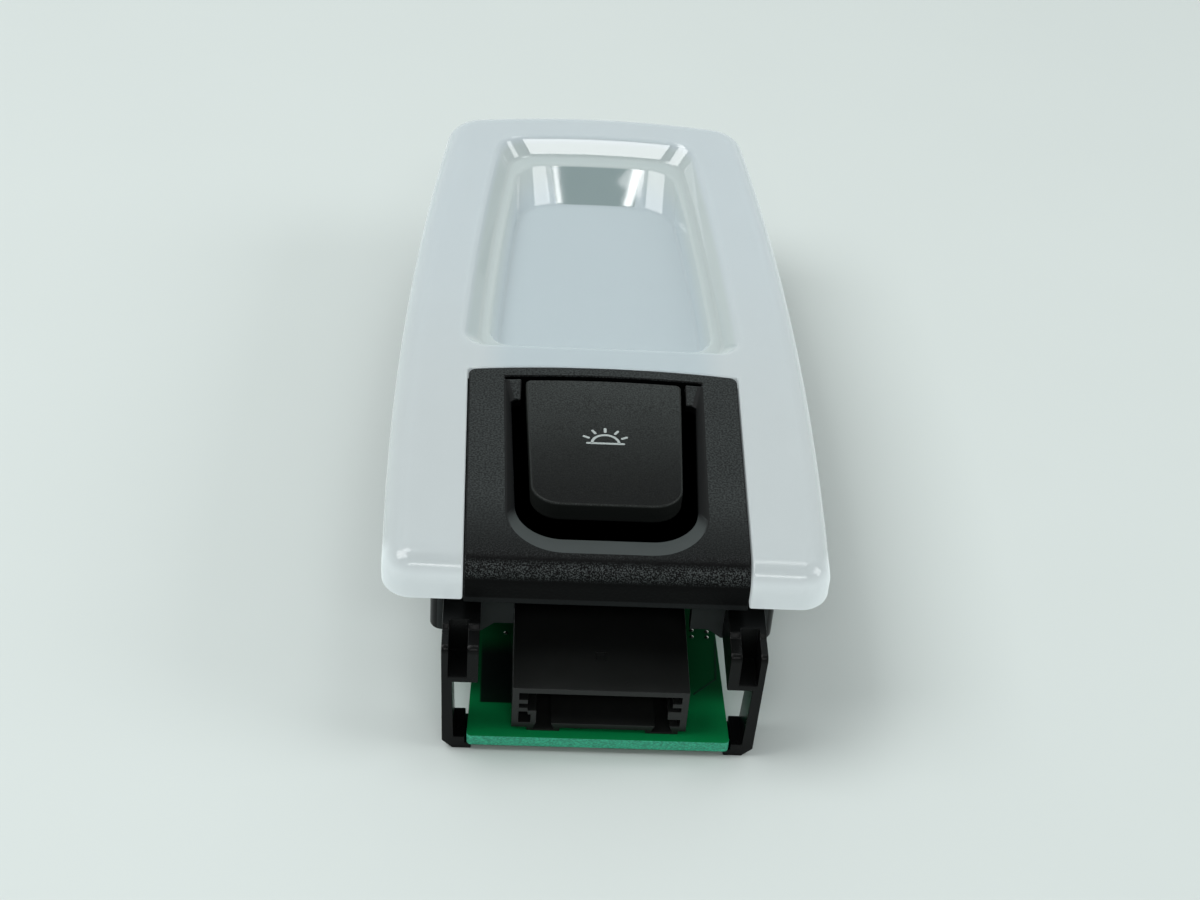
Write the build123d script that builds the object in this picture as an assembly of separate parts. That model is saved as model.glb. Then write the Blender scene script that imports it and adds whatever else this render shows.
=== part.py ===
from build123d import *
from math import sqrt
import os

# Interior lamp of a car, in millimetres. A milky lens snaps over a black housing, a hinged push button
# sits in a bezel in the lens's near end, and the circuit board below carries the wire socket.
# X runs across the lamp, Y from the socket towards the far end, and Z up through the lens.
# The origin is the middle of the footprint, on the surface that the lamp stands on.

# Lens, seen from above: two large side arcs, a bowed far end and a straight near end
lens_length = 105.8
lens_half_width = 27.8
lens_widest_at = 25.0
lens_side_radius = 590.0
lens_end_radius = 108.0
lens_near_corner = 3.8
lens_far_corner = 5.5
lens_top = 25.7
lens_depth = 5.7
lens_wall = 2.0
lens_edge_radius = 3.3

# Dish in the lens, which follows the lens's outline: a steep outer wall, a narrow ledge and a basin with a
# long ramp at its far end
dish_near_band = 4.4
dish_far_band = 7.5
dish_side_band = 8.45
dish_wall_run = 2.0
dish_ledge = 1.4
dish_far_ledge = 2.1
dish_ledge_depth = 2.5
dish_depth = 5.5
dish_side_run = 1.2
dish_ramp_run = 7.1
dish_near_corner = 3.0
dish_rim_corner = 4.2
dish_basin_corner = 5.3
dish_floor_corner = 5.8
dish_wall_spread = 0.75

# Snap tabs that hold the lens on the housing
tab_from_front = 21.0
tab_from_back = 31.8
tab_width = 6.0
tab_thickness = 1.4
tab_length = 6.2
tab_nib = 0.8
tab_nib_height = 1.2
tab_window_gap = 0.3
tab_slide_gap = 0.2

# Switch bezel
bezel_length = 39.6
bezel_near_inset = 10.5
bezel_far_inset = 9.9
bezel_end_radius = 146.0
bezel_corner = 1.1
bezel_roll = 3.3
bezel_depth = 6.0
bezel_wall = 2.0
bezel_lens_gap = 0.15
clip_from_front = 12.0
clip_from_end = 9.6
clip_width = 5.0
clip_thickness = 1.2
clip_length = 9.0
clip_nib = 0.7
clip_nib_height = 1.2
clip_slide_gap = 0.2
clip_window_gap = 0.3

# Scoop round the button, from its fine outline on top down to the opening
scoop_near = 2.8
scoop_far_band = 2.6
scoop_near_side_band = 5.0
scoop_far_side_band = 4.8
scoop_near_corner = 7.5
scoop_depth = 0.9
scoop_near_run = 3.5
scoop_far_run = 3.6
scoop_near_side_run = 1.1
scoop_far_side_run = 0.9
opening_near_corner = 6.0
opening_small_corner = 0.8
opening_end_strip = 1.85
ear_gap = 0.6
ear_gap_depth = 1.2
collar_wall = 1.3

# Push button and its trunnions
button_near_gap = 4.9
button_near_side_gap = 1.8
button_far_side_gap = 1.75
button_end_gap = 0.55
button_strip_gap = 0.45
button_near_rise = 0.6
button_far_drop = 0.3
button_depth = 6.4
button_wall = 1.6
button_near_corner = 3.8
button_far_corner = 0.8
button_edge_radius = 0.35
hinge_from_bezel_end = 5.0
hinge_drop = 4.5
trunnion_radius = 1.2
trunnion_gap = 0.1
trunnion_end_gap = 0.3
lug_wall = 0.9
lug_thickness = 2.0
lug_side_gap = 0.65
snap_slot_width = 1.8
stem_radius = 1.5
stem_tip_gap = 0.1
stem_chamfer = 0.6

# Circuit board
board_overhang = 6.0
board_end_inset = 9.8
board_front_half = 16.4
board_back_half = 12.9
board_bottom = 1.0
board_thickness = 1.6
board_corner = 0.6
board_gap = 0.3

# Housing: a tray under the lens, a deep light box behind it and two clip arms in front
tray_side_inset = 6.0
tray_end_inset = 5.0
tray_front_inset = 4.0
tray_floor = 11.0
tray_wall = 1.6
tray_near_corner = 1.5
tray_far_corner = 4.0
bay_wall_inset = 0.1
bay_opening_half = 13.4
bezel_divider_gap = 1.0
divider_board_gap = 0.4
front_arch_rise = 1.4
front_arch_slope = 1.6
front_gate_half = 11.0
front_gate_rise = 6.4
arm_setback = 0.3
arm_board_room = 3.4
arm_lean = 0.35
arm_width = 4.6
arm_outer_rib = 0.95
arm_inner_rib = 1.4
arm_pocket_depth = 4.7
arm_shelf_rise = 0.65
arm_shelf_thickness = 0.85
arm_rib_drop = 0.5
arm_rib_round = 0.9
arm_rib_flat = 3.4
panel_room = 2.2
leg_width = 1.45
leg_depth = 5.0
foot_height = 1.0
foot_chamfer = 1.3
foot_reach = 0.6
foot_board_gap = 0.2
hook_near_room = 15.8
hook_far_room = 10.0
hook_length = 5.0
hook_reach = 0.7
rest_rib_width = 1.6
rest_rib_reach = 1.2
tongue_place = 9.0
tongue_width = 6.0
tongue_reach = 4.0
tongue_root = 5.0
tongue_rise = 3.6
tongue_thickness = 1.8
tongue_chamfer = 0.6

# Reflector
reflector_wall = 1.0
reflector_flange = 2.0
reflector_gap = 0.4
reflector_floor_gap = 0.6
reflector_side_run = 3.0
reflector_end_run = 4.0
led_window_gap = 0.5

# Lamps of the light box
led_side_room = 7.24
led_row_count = 3
led_end_room = 9.9
led_width = 2.8
led_length = 3.5
led_height = 1.9
led_window_width = 2.0
led_window_length = 2.7
led_window_depth = 0.5

# Wire socket
socket_setback = 1.2
socket_half_width = 10.9
socket_lift = 0.55
socket_height = 6.85
socket_length = 16.2
socket_back_wall = 9.2
socket_wall = 0.85
groove_places = (-6.9, 7.9)
groove_half_top = 0.9
groove_half_bottom = 1.35
groove_wall = 0.7
groove_floor = 0.25
key_depth = 4.4
key_thickness = 0.7
key_reach = 1.1
key_high_rise = 4.85
key_low_rise = 3.45
step_key_reach = 2.2
step_key_rise = 2.95
block_key_reach = 1.6
block_key_height = 1.4
dimple_size = 1.3
dimple_depth = 0.3
dimple_from_mouth = 6.0
pin_count = 6
pin_pitch = 2.54
pin_side = 0.64
pin_rise = 2.15
pin_tip_depth = 4.1
pin_tail_gap = 1.0
pin_fit = 0.01
pin_hole_radius = 0.5
tail_bottom = 0.3

# Push switch on the board
switch_from_front = 17.0
switch_side = 6.0
switch_base_height = 3.2
switch_floor = 0.8
switch_bore = 2.4
switch_cover_thickness = 0.3
switch_cover_tab = 2.6
switch_cover_tab_width = 3.0
switch_height = 9.5
plunger_radius = 1.75
plunger_flange_radius = 2.2
plunger_flange_gap = 0.1
plunger_bore_gap = 0.1
dome_radius = 2.2
dome_top_radius = 1.1
dome_height = 1.2
dome_wall = 0.25
dome_gap = 0.05
leg_pitch_along = 4.5
leg_strip_width = 0.7
leg_strip_thickness = 0.4
leg_strip_top = 1.0
leg_hole_radius = 0.55

# Lamp and light guide of the button's sign
sign_from_front = 26.5
sign_led_length = 1.6
sign_led_width = 0.8
sign_led_height = 0.6
guide_foot_length = 7.0
guide_foot_width = 6.0
guide_foot_height = 1.2
guide_recess_gap = 0.3
guide_low_length = 3.2
guide_low_width = 2.6
guide_top_length = 6.6
guide_top_width = 3.2
guide_top_gap = 1.2
peg_radius = 0.6
peg_spacing = 5.2
peg_gap = 0.05

# Small parts of the board
chip_x = -9.6
chip_from_front = 25.0
chip_length = 4.9
chip_width = 3.9
chip_height = 1.5
chip_standoff = 0.15
lead_count = 4
lead_pitch = 1.27
lead_width = 0.42
lead_thickness = 0.2
lead_reach = 1.05
lead_foot = 0.55
diode_x = 9.8
diode_from_front = 20.5
diode_length = 4.3
diode_width = 2.6
diode_height = 2.1
diode_lead_width = 1.4
diode_lead_thickness = 0.2
diode_lead_height = 1.1
capacitor_spots = ((9.8, 27.5), (9.8, 31.0), (-9.6, 31.0))
capacitor_length = 3.2
capacitor_width = 1.6
capacitor_height = 1.2
capacitor_cap = 0.6
resistor_spots = ((-12.6, 34.6), (-9.6, 34.6), (7.8, 34.6), (11.0, 34.6))
resistor_length = 2.0
resistor_width = 1.25
resistor_height = 0.55
resistor_cap = 0.4
solder_radius = 0.95
solder_tip_radius = 0.6
solder_height = 0.6
solder_sides = 8

# Places worked out from the sizes above. The lens's inner bevel keeps its wall even at the rounded edge.
lens_inner_bevel = (lens_edge_radius - lens_wall) * (2 - sqrt(2))
overall_length = lens_length + board_overhang
board_front = -overall_length / 2
lens_front = board_front + board_overhang
lens_back = overall_length / 2
skirt_bottom = lens_top - lens_depth
plate_under = lens_top - lens_wall
bezel_lip = lens_top - bezel_depth
bezel_far = lens_front + bezel_length
bezel_near_half = lens_half_width - bezel_near_inset
bezel_far_half = lens_half_width - bezel_far_inset
scoop_rim_near = lens_front + scoop_near
scoop_rim_far = bezel_far - scoop_far_band
scoop_near_half = bezel_near_half - scoop_near_side_band
scoop_far_half = bezel_far_half - scoop_far_side_band
opening_near = scoop_rim_near + scoop_near_run
opening_shoulder = scoop_rim_far - scoop_far_run
opening_near_half = scoop_near_half - scoop_near_side_run
opening_far_half = scoop_far_half - scoop_far_side_run
button_near = opening_near + button_near_gap
button_near_half = opening_near_half - button_near_side_gap
button_far_half = opening_far_half - button_far_side_gap
dish_near = bezel_far + dish_near_band
tab_places = (lens_front + tab_from_front, lens_back - tab_from_back)
clip_places = (lens_front + clip_from_front, bezel_far - clip_from_end)
clip_low = lens_top - bezel_wall - clip_length
board_top = board_bottom + board_thickness
board_back = lens_back - board_end_inset
arm_front = board_front + arm_setback
arm_outer = board_front_half + arm_board_room
arm_inner = arm_outer - arm_width
bay_front = lens_front + tray_front_inset
bay_half = bezel_near_half - bay_wall_inset
divider_front = bezel_far + bezel_divider_gap
divider_back = divider_front + tray_wall
hook_places = (divider_back + hook_near_room, board_back - hook_far_room)
hinge_y = bezel_far - hinge_from_bezel_end
hinge_z = lens_top - hinge_drop
switch_y = lens_front + switch_from_front
switch_top = board_top + switch_height
sign_y = lens_front + sign_from_front
socket_mouth = board_front + socket_setback
socket_back = socket_mouth + socket_length
socket_bottom = board_top + socket_lift
socket_top = socket_bottom + socket_height
pin_height = socket_bottom + pin_rise
pin_tail_y = socket_back + pin_tail_gap
pin_middle = (pin_count - 1) / 2
capacitor_size = (capacitor_length, capacitor_width, capacitor_height, capacitor_cap)
resistor_size = (resistor_length, resistor_width, resistor_height, resistor_cap)
across_lamp = (-lens_half_width, lens_half_width)
standing = (Align.CENTER, Align.CENTER, Align.MIN)


def slab(across, along, up):
    """Block between two limits on each axis."""
    size = Box(across[1] - across[0], along[1] - along[0], up[1] - up[0])
    return Pos(sum(across) / 2, sum(along) / 2, sum(up) / 2) * size


def span(size, middle=0.0):
    """Limits of a size laid evenly about a middle."""
    return middle - size / 2, middle + size / 2


def prism(plan, low, high):
    """A flat outline raised from one height to another."""
    return Pos(0, 0, low) * extrude(plan, high - low, dir=(0, 0, 1))


def front_cut(points, near, far):
    """An outline drawn in the front view and carried from near to far."""
    face = Plane.XZ * Polygon(*points, align=None)
    return Pos(0, far, 0) * extrude(face, far - near, dir=(0, -1, 0))


def side_cut(points, half):
    """An outline drawn in the side view and carried to both sides."""
    face = Plane.YZ * Polygon(*points, align=None)
    return extrude(face, half, both=True)


def both_sides(piece):
    """A piece and its mirror image across the middle plane."""
    return piece + mirror(piece, about=Plane.YZ)


def tapered(near, near_half, far, far_half, near_corner=0.0, far_corner=0.0):
    """Symmetric outline with straight sides that draw in, with rounded corners."""
    points = ((-near_half, near), (near_half, near), (far_half, far), (-far_half, far))
    plan = Sketch() + Polygon(*points, align=None)
    if near_corner:
        plan = fillet(plan.vertices().sort_by(Axis.Y)[:2], near_corner)
    if far_corner:
        plan = fillet(plan.vertices().sort_by(Axis.Y)[-2:], far_corner)
    return plan


def lens_plan(side=0.0, end=0.0, front=0.0, near_corner=lens_near_corner, far_corner=lens_far_corner):
    """The lens seen from above, drawn in by the given amounts."""
    reach = lens_side_radius - lens_half_width
    widest = lens_front + lens_widest_at
    side_circle = Circle(lens_side_radius - side)
    plan = Pos(-reach, widest) * Rot(0, 0, 180) * side_circle & Pos(reach, widest) * side_circle
    plan = plan & Pos(0, lens_back - lens_end_radius) * Circle(lens_end_radius - end)
    ahead = Rectangle(2 * lens_half_width, lens_length, align=(Align.CENTER, Align.MIN))
    plan = plan & Pos(0, lens_front + front) * ahead
    plan = fillet(plan.vertices().sort_by(Axis.Y)[:2], near_corner)
    return fillet(plan.vertices().sort_by(Axis.Y)[-2:], far_corner)


def between(near, near_value, far, far_value, place):
    """Straight-line value at a place between two ends."""
    return near_value + (far_value - near_value) * (place - near) / (far - near)


def dish_face(height, inset, far_inset, far_corner):
    """Outline of the dish at one height: the lens's outline drawn in to the dish's rim and on from there."""
    front = dish_near - lens_front + inset
    plan = lens_plan(dish_side_band + inset, dish_far_band + far_inset, front, dish_near_corner, far_corner)
    return Pos(0, 0, height) * plan


def dish(spread, drop):
    """The two-step hollow, or with a spread and a drop the underside of the wall round it."""
    ledge_in = dish_wall_run - spread
    basin_in = ledge_in + dish_ledge
    basin_far = ledge_in + dish_far_ledge
    floor_in = basin_in + dish_side_run
    floor_far = basin_far + dish_ramp_run
    ledge_height = lens_top - dish_ledge_depth - drop
    floor_height = lens_top - dish_depth - drop
    rim = dish_face(lens_top - drop, -spread, -spread, dish_rim_corner)
    ledge = dish_face(ledge_height, ledge_in, ledge_in, dish_rim_corner)
    basin = dish_face(ledge_height, basin_in, basin_far, dish_basin_corner)
    floor = dish_face(floor_height, floor_in, floor_far, dish_floor_corner)
    return loft([rim, ledge], ruled=True) + loft([basin, floor], ruled=True)


def tab_slab(place, low, high, gap=0.0):
    """Stretch of both sides of the lamp that holds one pair of snap tabs."""
    return slab(across_lamp, span(tab_width + 2 * gap, place), (low, high))


def side_band(outer, inner, low, high):
    """Upright band along the lamp's sides, between two distances in from the lens's outline."""
    whole = prism(lens_plan(side=outer), low, high)
    return whole - prism(lens_plan(side=inner), low, high)


def tab_nib_range(gap=0.0):
    """Heights of the snap nibs, or of the windows that take them."""
    low = plate_under - tab_length
    return low - gap, low + tab_nib_height + gap


def make_lens():
    """Milky cover: rounded rim, dish with its wall beneath, notch for the bezel and snap tabs."""
    shell = prism(lens_plan(), skirt_bottom, lens_top)
    shell = fillet(shell.edges().group_by(Axis.Z)[-1], lens_edge_radius)
    inner_corners = lens_near_corner - lens_wall, lens_far_corner - lens_wall
    hollow = prism(lens_plan(lens_wall, lens_wall, lens_wall, *inner_corners), skirt_bottom, plate_under)
    hollow = chamfer(hollow.edges().group_by(Axis.Z)[-1], lens_inner_bevel)
    lens = shell - hollow + dish(dish_wall_spread, lens_wall) - dish(0.0, 0.0)
    lens = lens - prism(bezel_plan(-bezel_lens_gap), skirt_bottom, lens_top)
    tab_outer = tray_side_inset - tab_slide_gap - tab_thickness
    tab_inner = tray_side_inset - tab_slide_gap
    tab_low = plate_under - tab_length
    band = side_band(tab_outer, tab_inner, tab_low, plate_under)
    nibs = side_band(tab_inner, tray_side_inset + tab_nib, *tab_nib_range())
    for place in tab_places:
        lens = lens + (band & tab_slab(place, tab_low, plate_under))
        lens = lens + (nibs & tab_slab(place, *tab_nib_range()))
    return lens


def bezel_plan(inset=0.0, corner=bezel_corner):
    """The bezel seen from above: nearly straight sides and a bowed far end."""
    plan = tapered(lens_front + inset, bezel_near_half - inset, bezel_far, bezel_far_half - inset)
    plan = plan & Pos(0, bezel_far - bezel_end_radius) * Circle(bezel_end_radius - inset)
    if corner:
        plan = fillet(plan.vertices().sort_by(Axis.Y)[-2:], corner)
    return plan


def end_strip(half, gap):
    """Far part of the opening or of the button, bowed like the bezel's far edge."""
    strip = tapered(opening_near, half, bezel_far, half)
    return strip & Pos(0, bezel_far - bezel_end_radius) * Circle(bezel_end_radius - gap)


def opening_plan(grow=0.0):
    """Opening for the button: a wide U with a narrower strip at the hinge end."""
    near = opening_near - grow
    shoulder = opening_shoulder + grow
    wide = tapered(near, opening_near_half + grow, shoulder, opening_far_half + grow,
                   opening_near_corner, opening_small_corner)
    strip = end_strip(button_far_half + button_strip_gap + grow, opening_end_strip - grow)
    keep = Rectangle(2 * bezel_far_half, bezel_length, align=(Align.CENTER, Align.MIN))
    return wide + (strip & Pos(0, shoulder - grow - opening_small_corner) * keep)


def ear_groove():
    """Groove that parts the ears beside the hinge from the bezel's far edge."""
    band = end_strip(scoop_far_half, opening_end_strip)
    band = band - end_strip(scoop_far_half, opening_end_strip + ear_gap)
    return prism(band, lens_top - ear_gap_depth, lens_top)


def scoop():
    """Sloped finger recess from its outline on the bezel's top down to the opening."""
    rim = tapered(scoop_rim_near, scoop_near_half, scoop_rim_far, scoop_far_half,
                  scoop_near_corner, opening_small_corner)
    throat = tapered(opening_near, opening_near_half, opening_shoulder, opening_far_half,
                     opening_near_corner, opening_small_corner)
    return loft([Pos(0, 0, lens_top - scoop_depth) * throat, Pos(0, 0, lens_top) * rim], ruled=True)


def front_top_edge(body):
    """The straight edge along the top of a body's near end."""
    return body.edges().filter_by(Axis.X).group_by(Axis.Z)[-1].sort_by(Axis.Y)[0]


def bezel_clip(place):
    """Right snap leg of the bezel, with a ramped nib that hooks into the bay's wall."""
    outer = bay_half - tray_wall - clip_slide_gap
    tip = bay_half - tray_wall + clip_nib
    nib_top = clip_low + clip_nib_height
    along = span(clip_width, place)
    leg = slab((outer - clip_thickness, outer), along, (clip_low, lens_top - bezel_wall))
    return leg + front_cut(((outer, clip_low), (tip, nib_top), (outer, nib_top)), *along)


def clip_window(place):
    """Window in the right wall of the bay for one nib of the bezel."""
    along = span(clip_width + 2 * clip_window_gap, place)
    heights = (clip_low - clip_window_gap, clip_low + clip_nib_height + clip_window_gap)
    return slab((bay_half - tray_wall, bay_half), along, heights)


def make_bezel():
    """Grained plate rolled down at the front, with skirts, scoop, collar, hinge lugs and snap legs."""
    body = prism(bezel_plan(), bezel_lip, lens_top)
    body = fillet(front_top_edge(body), bezel_roll)
    hollow = prism(bezel_plan(bezel_wall, 0.0), bezel_lip, lens_top - bezel_wall)
    hollow = fillet(front_top_edge(hollow), bezel_roll - bezel_wall)
    collar = prism(opening_plan(collar_wall), bezel_lip, lens_top - bezel_wall)
    bezel = body - (hollow - collar)
    lug_inner = button_far_half + lug_side_gap
    lug_half = trunnion_radius + trunnion_gap + lug_wall
    lug = slab((lug_inner, lug_inner + lug_thickness), span(2 * lug_half, hinge_y),
               (hinge_z - lug_half, lens_top - bezel_wall))
    bezel = bezel + both_sides(lug)
    bezel = bezel - scoop() - prism(opening_plan(), bezel_lip, lens_top) - ear_groove()
    bore_reach = lug_inner + lug_thickness
    bore = Cylinder(trunnion_radius + trunnion_gap, 2 * bore_reach)
    bezel = bezel - Pos(0, hinge_y, hinge_z) * Rot(0, 90, 0) * bore
    slot = slab(span(2 * bore_reach), span(snap_slot_width, hinge_y), (hinge_z - lug_half, hinge_z))
    bezel = bezel - slot
    for place in clip_places:
        bezel = bezel + both_sides(bezel_clip(place))
    return bezel


def button_plan(inset=0.0):
    """The button seen from above: wider and bowed at its hinge end."""
    corner = max(button_near_corner - inset, button_far_corner)
    plan = tapered(button_near + inset, button_near_half - inset, bezel_far, button_far_half - inset)
    bow = bezel_end_radius - opening_end_strip - button_end_gap - inset
    plan = plan & Pos(0, bezel_far - bezel_end_radius) * Circle(bow)
    plan = fillet(plan.vertices().sort_by(Axis.Y)[:2], corner)
    return fillet(plan.vertices().sort_by(Axis.Y)[-2:], button_far_corner)


def button_profile(drop):
    """Side view of the button: a flat bottom and a face that rises towards the near end."""
    bottom = lens_top - button_depth
    low = lens_top - button_far_drop - drop
    high = lens_top + button_near_rise - drop
    outline = ((button_near, bottom), (bezel_far, bottom), (bezel_far, low), (button_near, high))
    return side_cut(outline, lens_half_width)


def make_button():
    """Hollow cap with trunnions at its far end and a stem that presses the switch."""
    ceiling = lens_top + button_near_rise
    bottom = lens_top - button_depth
    cap = prism(button_plan(), bottom, ceiling) & button_profile(0.0)
    cap = fillet(cap.faces().sort_by(Axis.Z)[-1].edges(), button_edge_radius)
    hollow = prism(button_plan(button_wall), bottom, ceiling) & button_profile(button_wall)
    stem_bottom = switch_top + stem_tip_gap
    stem_length = lens_top - button_wall / 2 - stem_bottom
    stem = Pos(0, switch_y, stem_bottom) * Cylinder(stem_radius, stem_length, align=standing)
    stem = chamfer(stem.edges().group_by(Axis.Z)[0], stem_chamfer)
    bore_reach = button_far_half + lug_side_gap + lug_thickness
    trunnion_root = button_far_half - button_wall
    trunnion_tip = bore_reach - trunnion_end_gap
    trunnion = Cylinder(trunnion_radius, trunnion_tip - trunnion_root)
    trunnion = Pos((trunnion_root + trunnion_tip) / 2, hinge_y, hinge_z) * Rot(0, 90, 0) * trunnion
    return cap - hollow + stem + both_sides(trunnion)


def board_half(place, gap=0.0):
    """Half width of the board at a place along it."""
    return between(board_front, board_front_half, board_back, board_back_half, place) + gap


def board_band(near, far, gap, low, high):
    """Block as wide as the board and its gap, which draws in as the board does."""
    return prism(tapered(near, board_half(near, gap), far, board_half(far, gap)), low, high)


def pin_places():
    """Places of the socket's pins across the board."""
    return [(index - pin_middle) * pin_pitch for index in range(pin_count)]


def switch_leg_places():
    """Places of the push switch's four legs."""
    across = switch_side / 2 + leg_strip_thickness / 2
    along = leg_pitch_along / 2
    return [(x, switch_y + y) for x in (-across, across) for y in (-along, along)]


def make_board():
    """Tapered board with holes for the pins, the switch legs and the guide's pegs."""
    plan = tapered(board_front, board_front_half, board_back, board_back_half, board_corner, board_corner)
    board = prism(plan, board_bottom, board_top)
    holes = [(x, pin_tail_y, pin_hole_radius) for x in pin_places()]
    holes += [(x, y, leg_hole_radius) for x, y in switch_leg_places()]
    holes += [(x, sign_y, peg_radius + peg_gap) for x in (-peg_spacing / 2, peg_spacing / 2)]
    middle = (board_bottom + board_top) / 2
    for x, y, radius in holes:
        board = board - Pos(x, y, middle) * Cylinder(radius, board_thickness)
    return board


def arm():
    """Right clip arm: a ribbed pocket, a leg with a window beside it and a foot under the board."""
    foot_outer = arm_outer - arm_lean
    board_edge = board_front_half + foot_board_gap
    foot_top = board_bottom + foot_height
    shelf_bottom = tray_floor + arm_shelf_rise
    shelf_top = shelf_bottom + arm_shelf_thickness
    outline = (
        (arm_outer, bezel_lip), (foot_outer, foot_chamfer), (foot_outer - foot_chamfer, 0.0),
        (board_front_half - foot_reach, 0.0), (board_front_half - foot_reach, board_bottom),
        (board_edge, board_bottom), (board_edge, foot_top), (foot_outer - leg_width, foot_top),
        (arm_outer - leg_width, shelf_bottom), (arm_inner, shelf_bottom), (arm_inner, bezel_lip),
    )
    top = skirt_bottom - panel_room
    rib_top = top - arm_rib_drop
    leg_back = arm_front + leg_depth
    flat_back = arm_front + arm_rib_flat
    side = side_cut((
        (arm_front, 0.0), (leg_back, 0.0), (leg_back, tray_floor), (bay_front + tray_wall, tray_floor),
        (bay_front + tray_wall, top), (flat_back + arm_rib_drop, top), (flat_back, rib_top),
        (arm_front, rib_top)), lens_half_width)
    whole = front_cut(outline, arm_front, bay_front + tray_wall) & side
    nose = whole.edges().filter_by(Axis.X).group_by(Axis.Y)[0].sort_by(Axis.Z)[-1]
    whole = fillet(nose, arm_rib_round)
    pocket = slab((arm_inner + arm_inner_rib, arm_outer - arm_outer_rib),
                  (arm_front, arm_front + arm_pocket_depth), (shelf_top, top))
    return whole - pocket


def front_wall_cut():
    """Lower edge of the front wall: a low arch over the board with a gate above the socket."""
    arch_top = tray_floor + front_arch_rise
    arch_foot = bay_opening_half + front_arch_slope
    right = ((bay_opening_half, arch_top), (arch_foot, tray_floor))
    left = ((-arch_foot, tray_floor), (-bay_opening_half, arch_top))
    gate_top = tray_floor + front_gate_rise
    gate = ((-front_gate_half, arch_top), (-front_gate_half, gate_top),
            (front_gate_half, gate_top), (front_gate_half, arch_top))
    return front_cut(left + gate + right, bay_front, bay_front + tray_wall)


def light_box():
    """Deep box round the board's far part, with hooks under the board and rest ribs on top of it."""
    back_inner = board_back + board_gap
    outer = board_band(divider_front, back_inner + tray_wall, board_gap + tray_wall, 0.0, tray_floor)
    inner = board_band(divider_back, back_inner, board_gap, 0.0, tray_floor)
    passage = board_band(divider_front, divider_back, board_gap, 0.0, board_top + divider_board_gap)
    box = outer - inner - passage
    for place in hook_places:
        wall = board_half(place, board_gap)
        root = wall + tray_wall / 2
        hook_outline = ((root, 0.0), (wall, 0.0), (wall - hook_reach, board_bottom), (root, board_bottom))
        hook = front_cut(hook_outline, *span(hook_length, place))
        rib = slab((wall - rest_rib_reach, root), span(rest_rib_width, place), (board_top, tray_floor))
        box = box + both_sides(hook) + both_sides(rib)
    back_rest = slab(span(hook_length), (back_inner - hook_reach, back_inner + tray_wall / 2),
                     (0.0, board_bottom))
    return box + back_rest


def tray_plan(wall=0.0):
    """The housing's tray seen from above, drawn in from the lens's outline."""
    side = tray_side_inset + wall
    end = tray_end_inset + wall
    front = tray_front_inset + wall
    return lens_plan(side, end, front, tray_near_corner, tray_far_corner)


def make_housing():
    """One black moulding: tray, bay under the bezel, divider, light box, clip arms and rear tongues."""
    tray = prism(tray_plan(), tray_floor, plate_under)
    room = prism(tray_plan(tray_wall), tray_floor + tray_wall, plate_under)
    divider = slab(across_lamp, (divider_front, divider_back), (tray_floor, plate_under))
    bay_wall = slab((bay_half - tray_wall, bay_half), (bay_front, divider_front), (tray_floor, bezel_lip))
    housing = tray - room + (divider & tray) + both_sides(bay_wall)
    housing = housing - slab(across_lamp, (bay_front, bay_front + tray_wall), (bezel_lip, lens_top))
    floor_top = tray_floor + tray_wall
    bay_floor = slab(span(2 * bay_opening_half), (bay_front + tray_wall, divider_front),
                     (tray_floor, floor_top))
    box_mouth = board_band(divider_back, board_back + board_gap, board_gap, tray_floor, floor_top)
    housing = housing - bay_floor - box_mouth - front_wall_cut()
    for place in tab_places:
        housing = housing - tab_window(place)
    for place in clip_places:
        housing = housing - both_sides(clip_window(place))
    tray_back = lens_back - tray_end_inset
    tongue_low = tray_floor + tongue_rise
    tongue = slab(span(tongue_width, tongue_place), (tray_back - tongue_root, tray_back + tongue_reach),
                  (tongue_low, tongue_low + tongue_thickness))
    tongue = tongue - room
    tip = tongue.edges().filter_by(Axis.X).group_by(Axis.Y)[-1]
    tongue = chamfer(tip, tongue_chamfer)
    return housing + light_box() + both_sides(arm()) + both_sides(tongue)


def tab_window(place):
    """Windows in both tray walls for one pair of snap nibs."""
    low, high = tab_nib_range(tab_window_gap)
    band = side_band(tray_side_inset, tray_side_inset + tray_wall, low, high)
    return band & tab_slab(place, low, high, tab_window_gap)


def led_spots():
    """Places of the lamps in the light box."""
    first = divider_back + led_end_room
    last = board_back - led_end_room
    across = board_half(last) - led_side_room
    step = (last - first) / (led_row_count - 1)
    rows = [first + index * step for index in range(led_row_count)]
    return [(x, row) for row in rows for x in (-across, across)]


def make_reflector():
    """White tray with sloped sides, a flange on the housing's floor and a window for each lamp."""
    near = divider_back + reflector_gap
    far = board_back - reflector_gap
    flange_low = tray_floor + tray_wall
    floor_low = board_top + reflector_floor_gap
    side_gap = reflector_gap + rest_rib_reach

    def outline(end, side):
        near_half = board_half(near + end, -side_gap - side)
        far_half = board_half(far - end, -side_gap - side)
        return tapered(near + end, near_half, far - end, far_half)

    def basin(wall, low):
        floor = outline(wall + reflector_end_run, wall + reflector_side_run)
        rim = outline(wall, wall)
        return loft([Pos(0, 0, low) * floor, Pos(0, 0, flange_low + reflector_wall) * rim], ruled=True)

    flange = outline(0.0, -reflector_flange)
    tray = basin(0.0, floor_low) + prism(flange, flange_low, flange_low + reflector_wall)
    tray = tray - basin(reflector_wall, floor_low + reflector_wall)
    window_width = led_width + 2 * led_window_gap
    window_length = led_length + 2 * led_window_gap
    floor_range = (floor_low, floor_low + reflector_wall)
    for x, y in led_spots():
        tray = tray - slab(span(window_width, x), span(window_length, y), floor_range)
    return tray


def made_at(spots, piece):
    """The same piece at each of several spots."""
    return Compound([Pos(x, y, 0) * piece for x, y in spots])


def led_window():
    """Phosphor window of one lamp."""
    top = board_top + led_height
    return slab(span(led_window_width), span(led_window_length), (top - led_window_depth, top))


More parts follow.
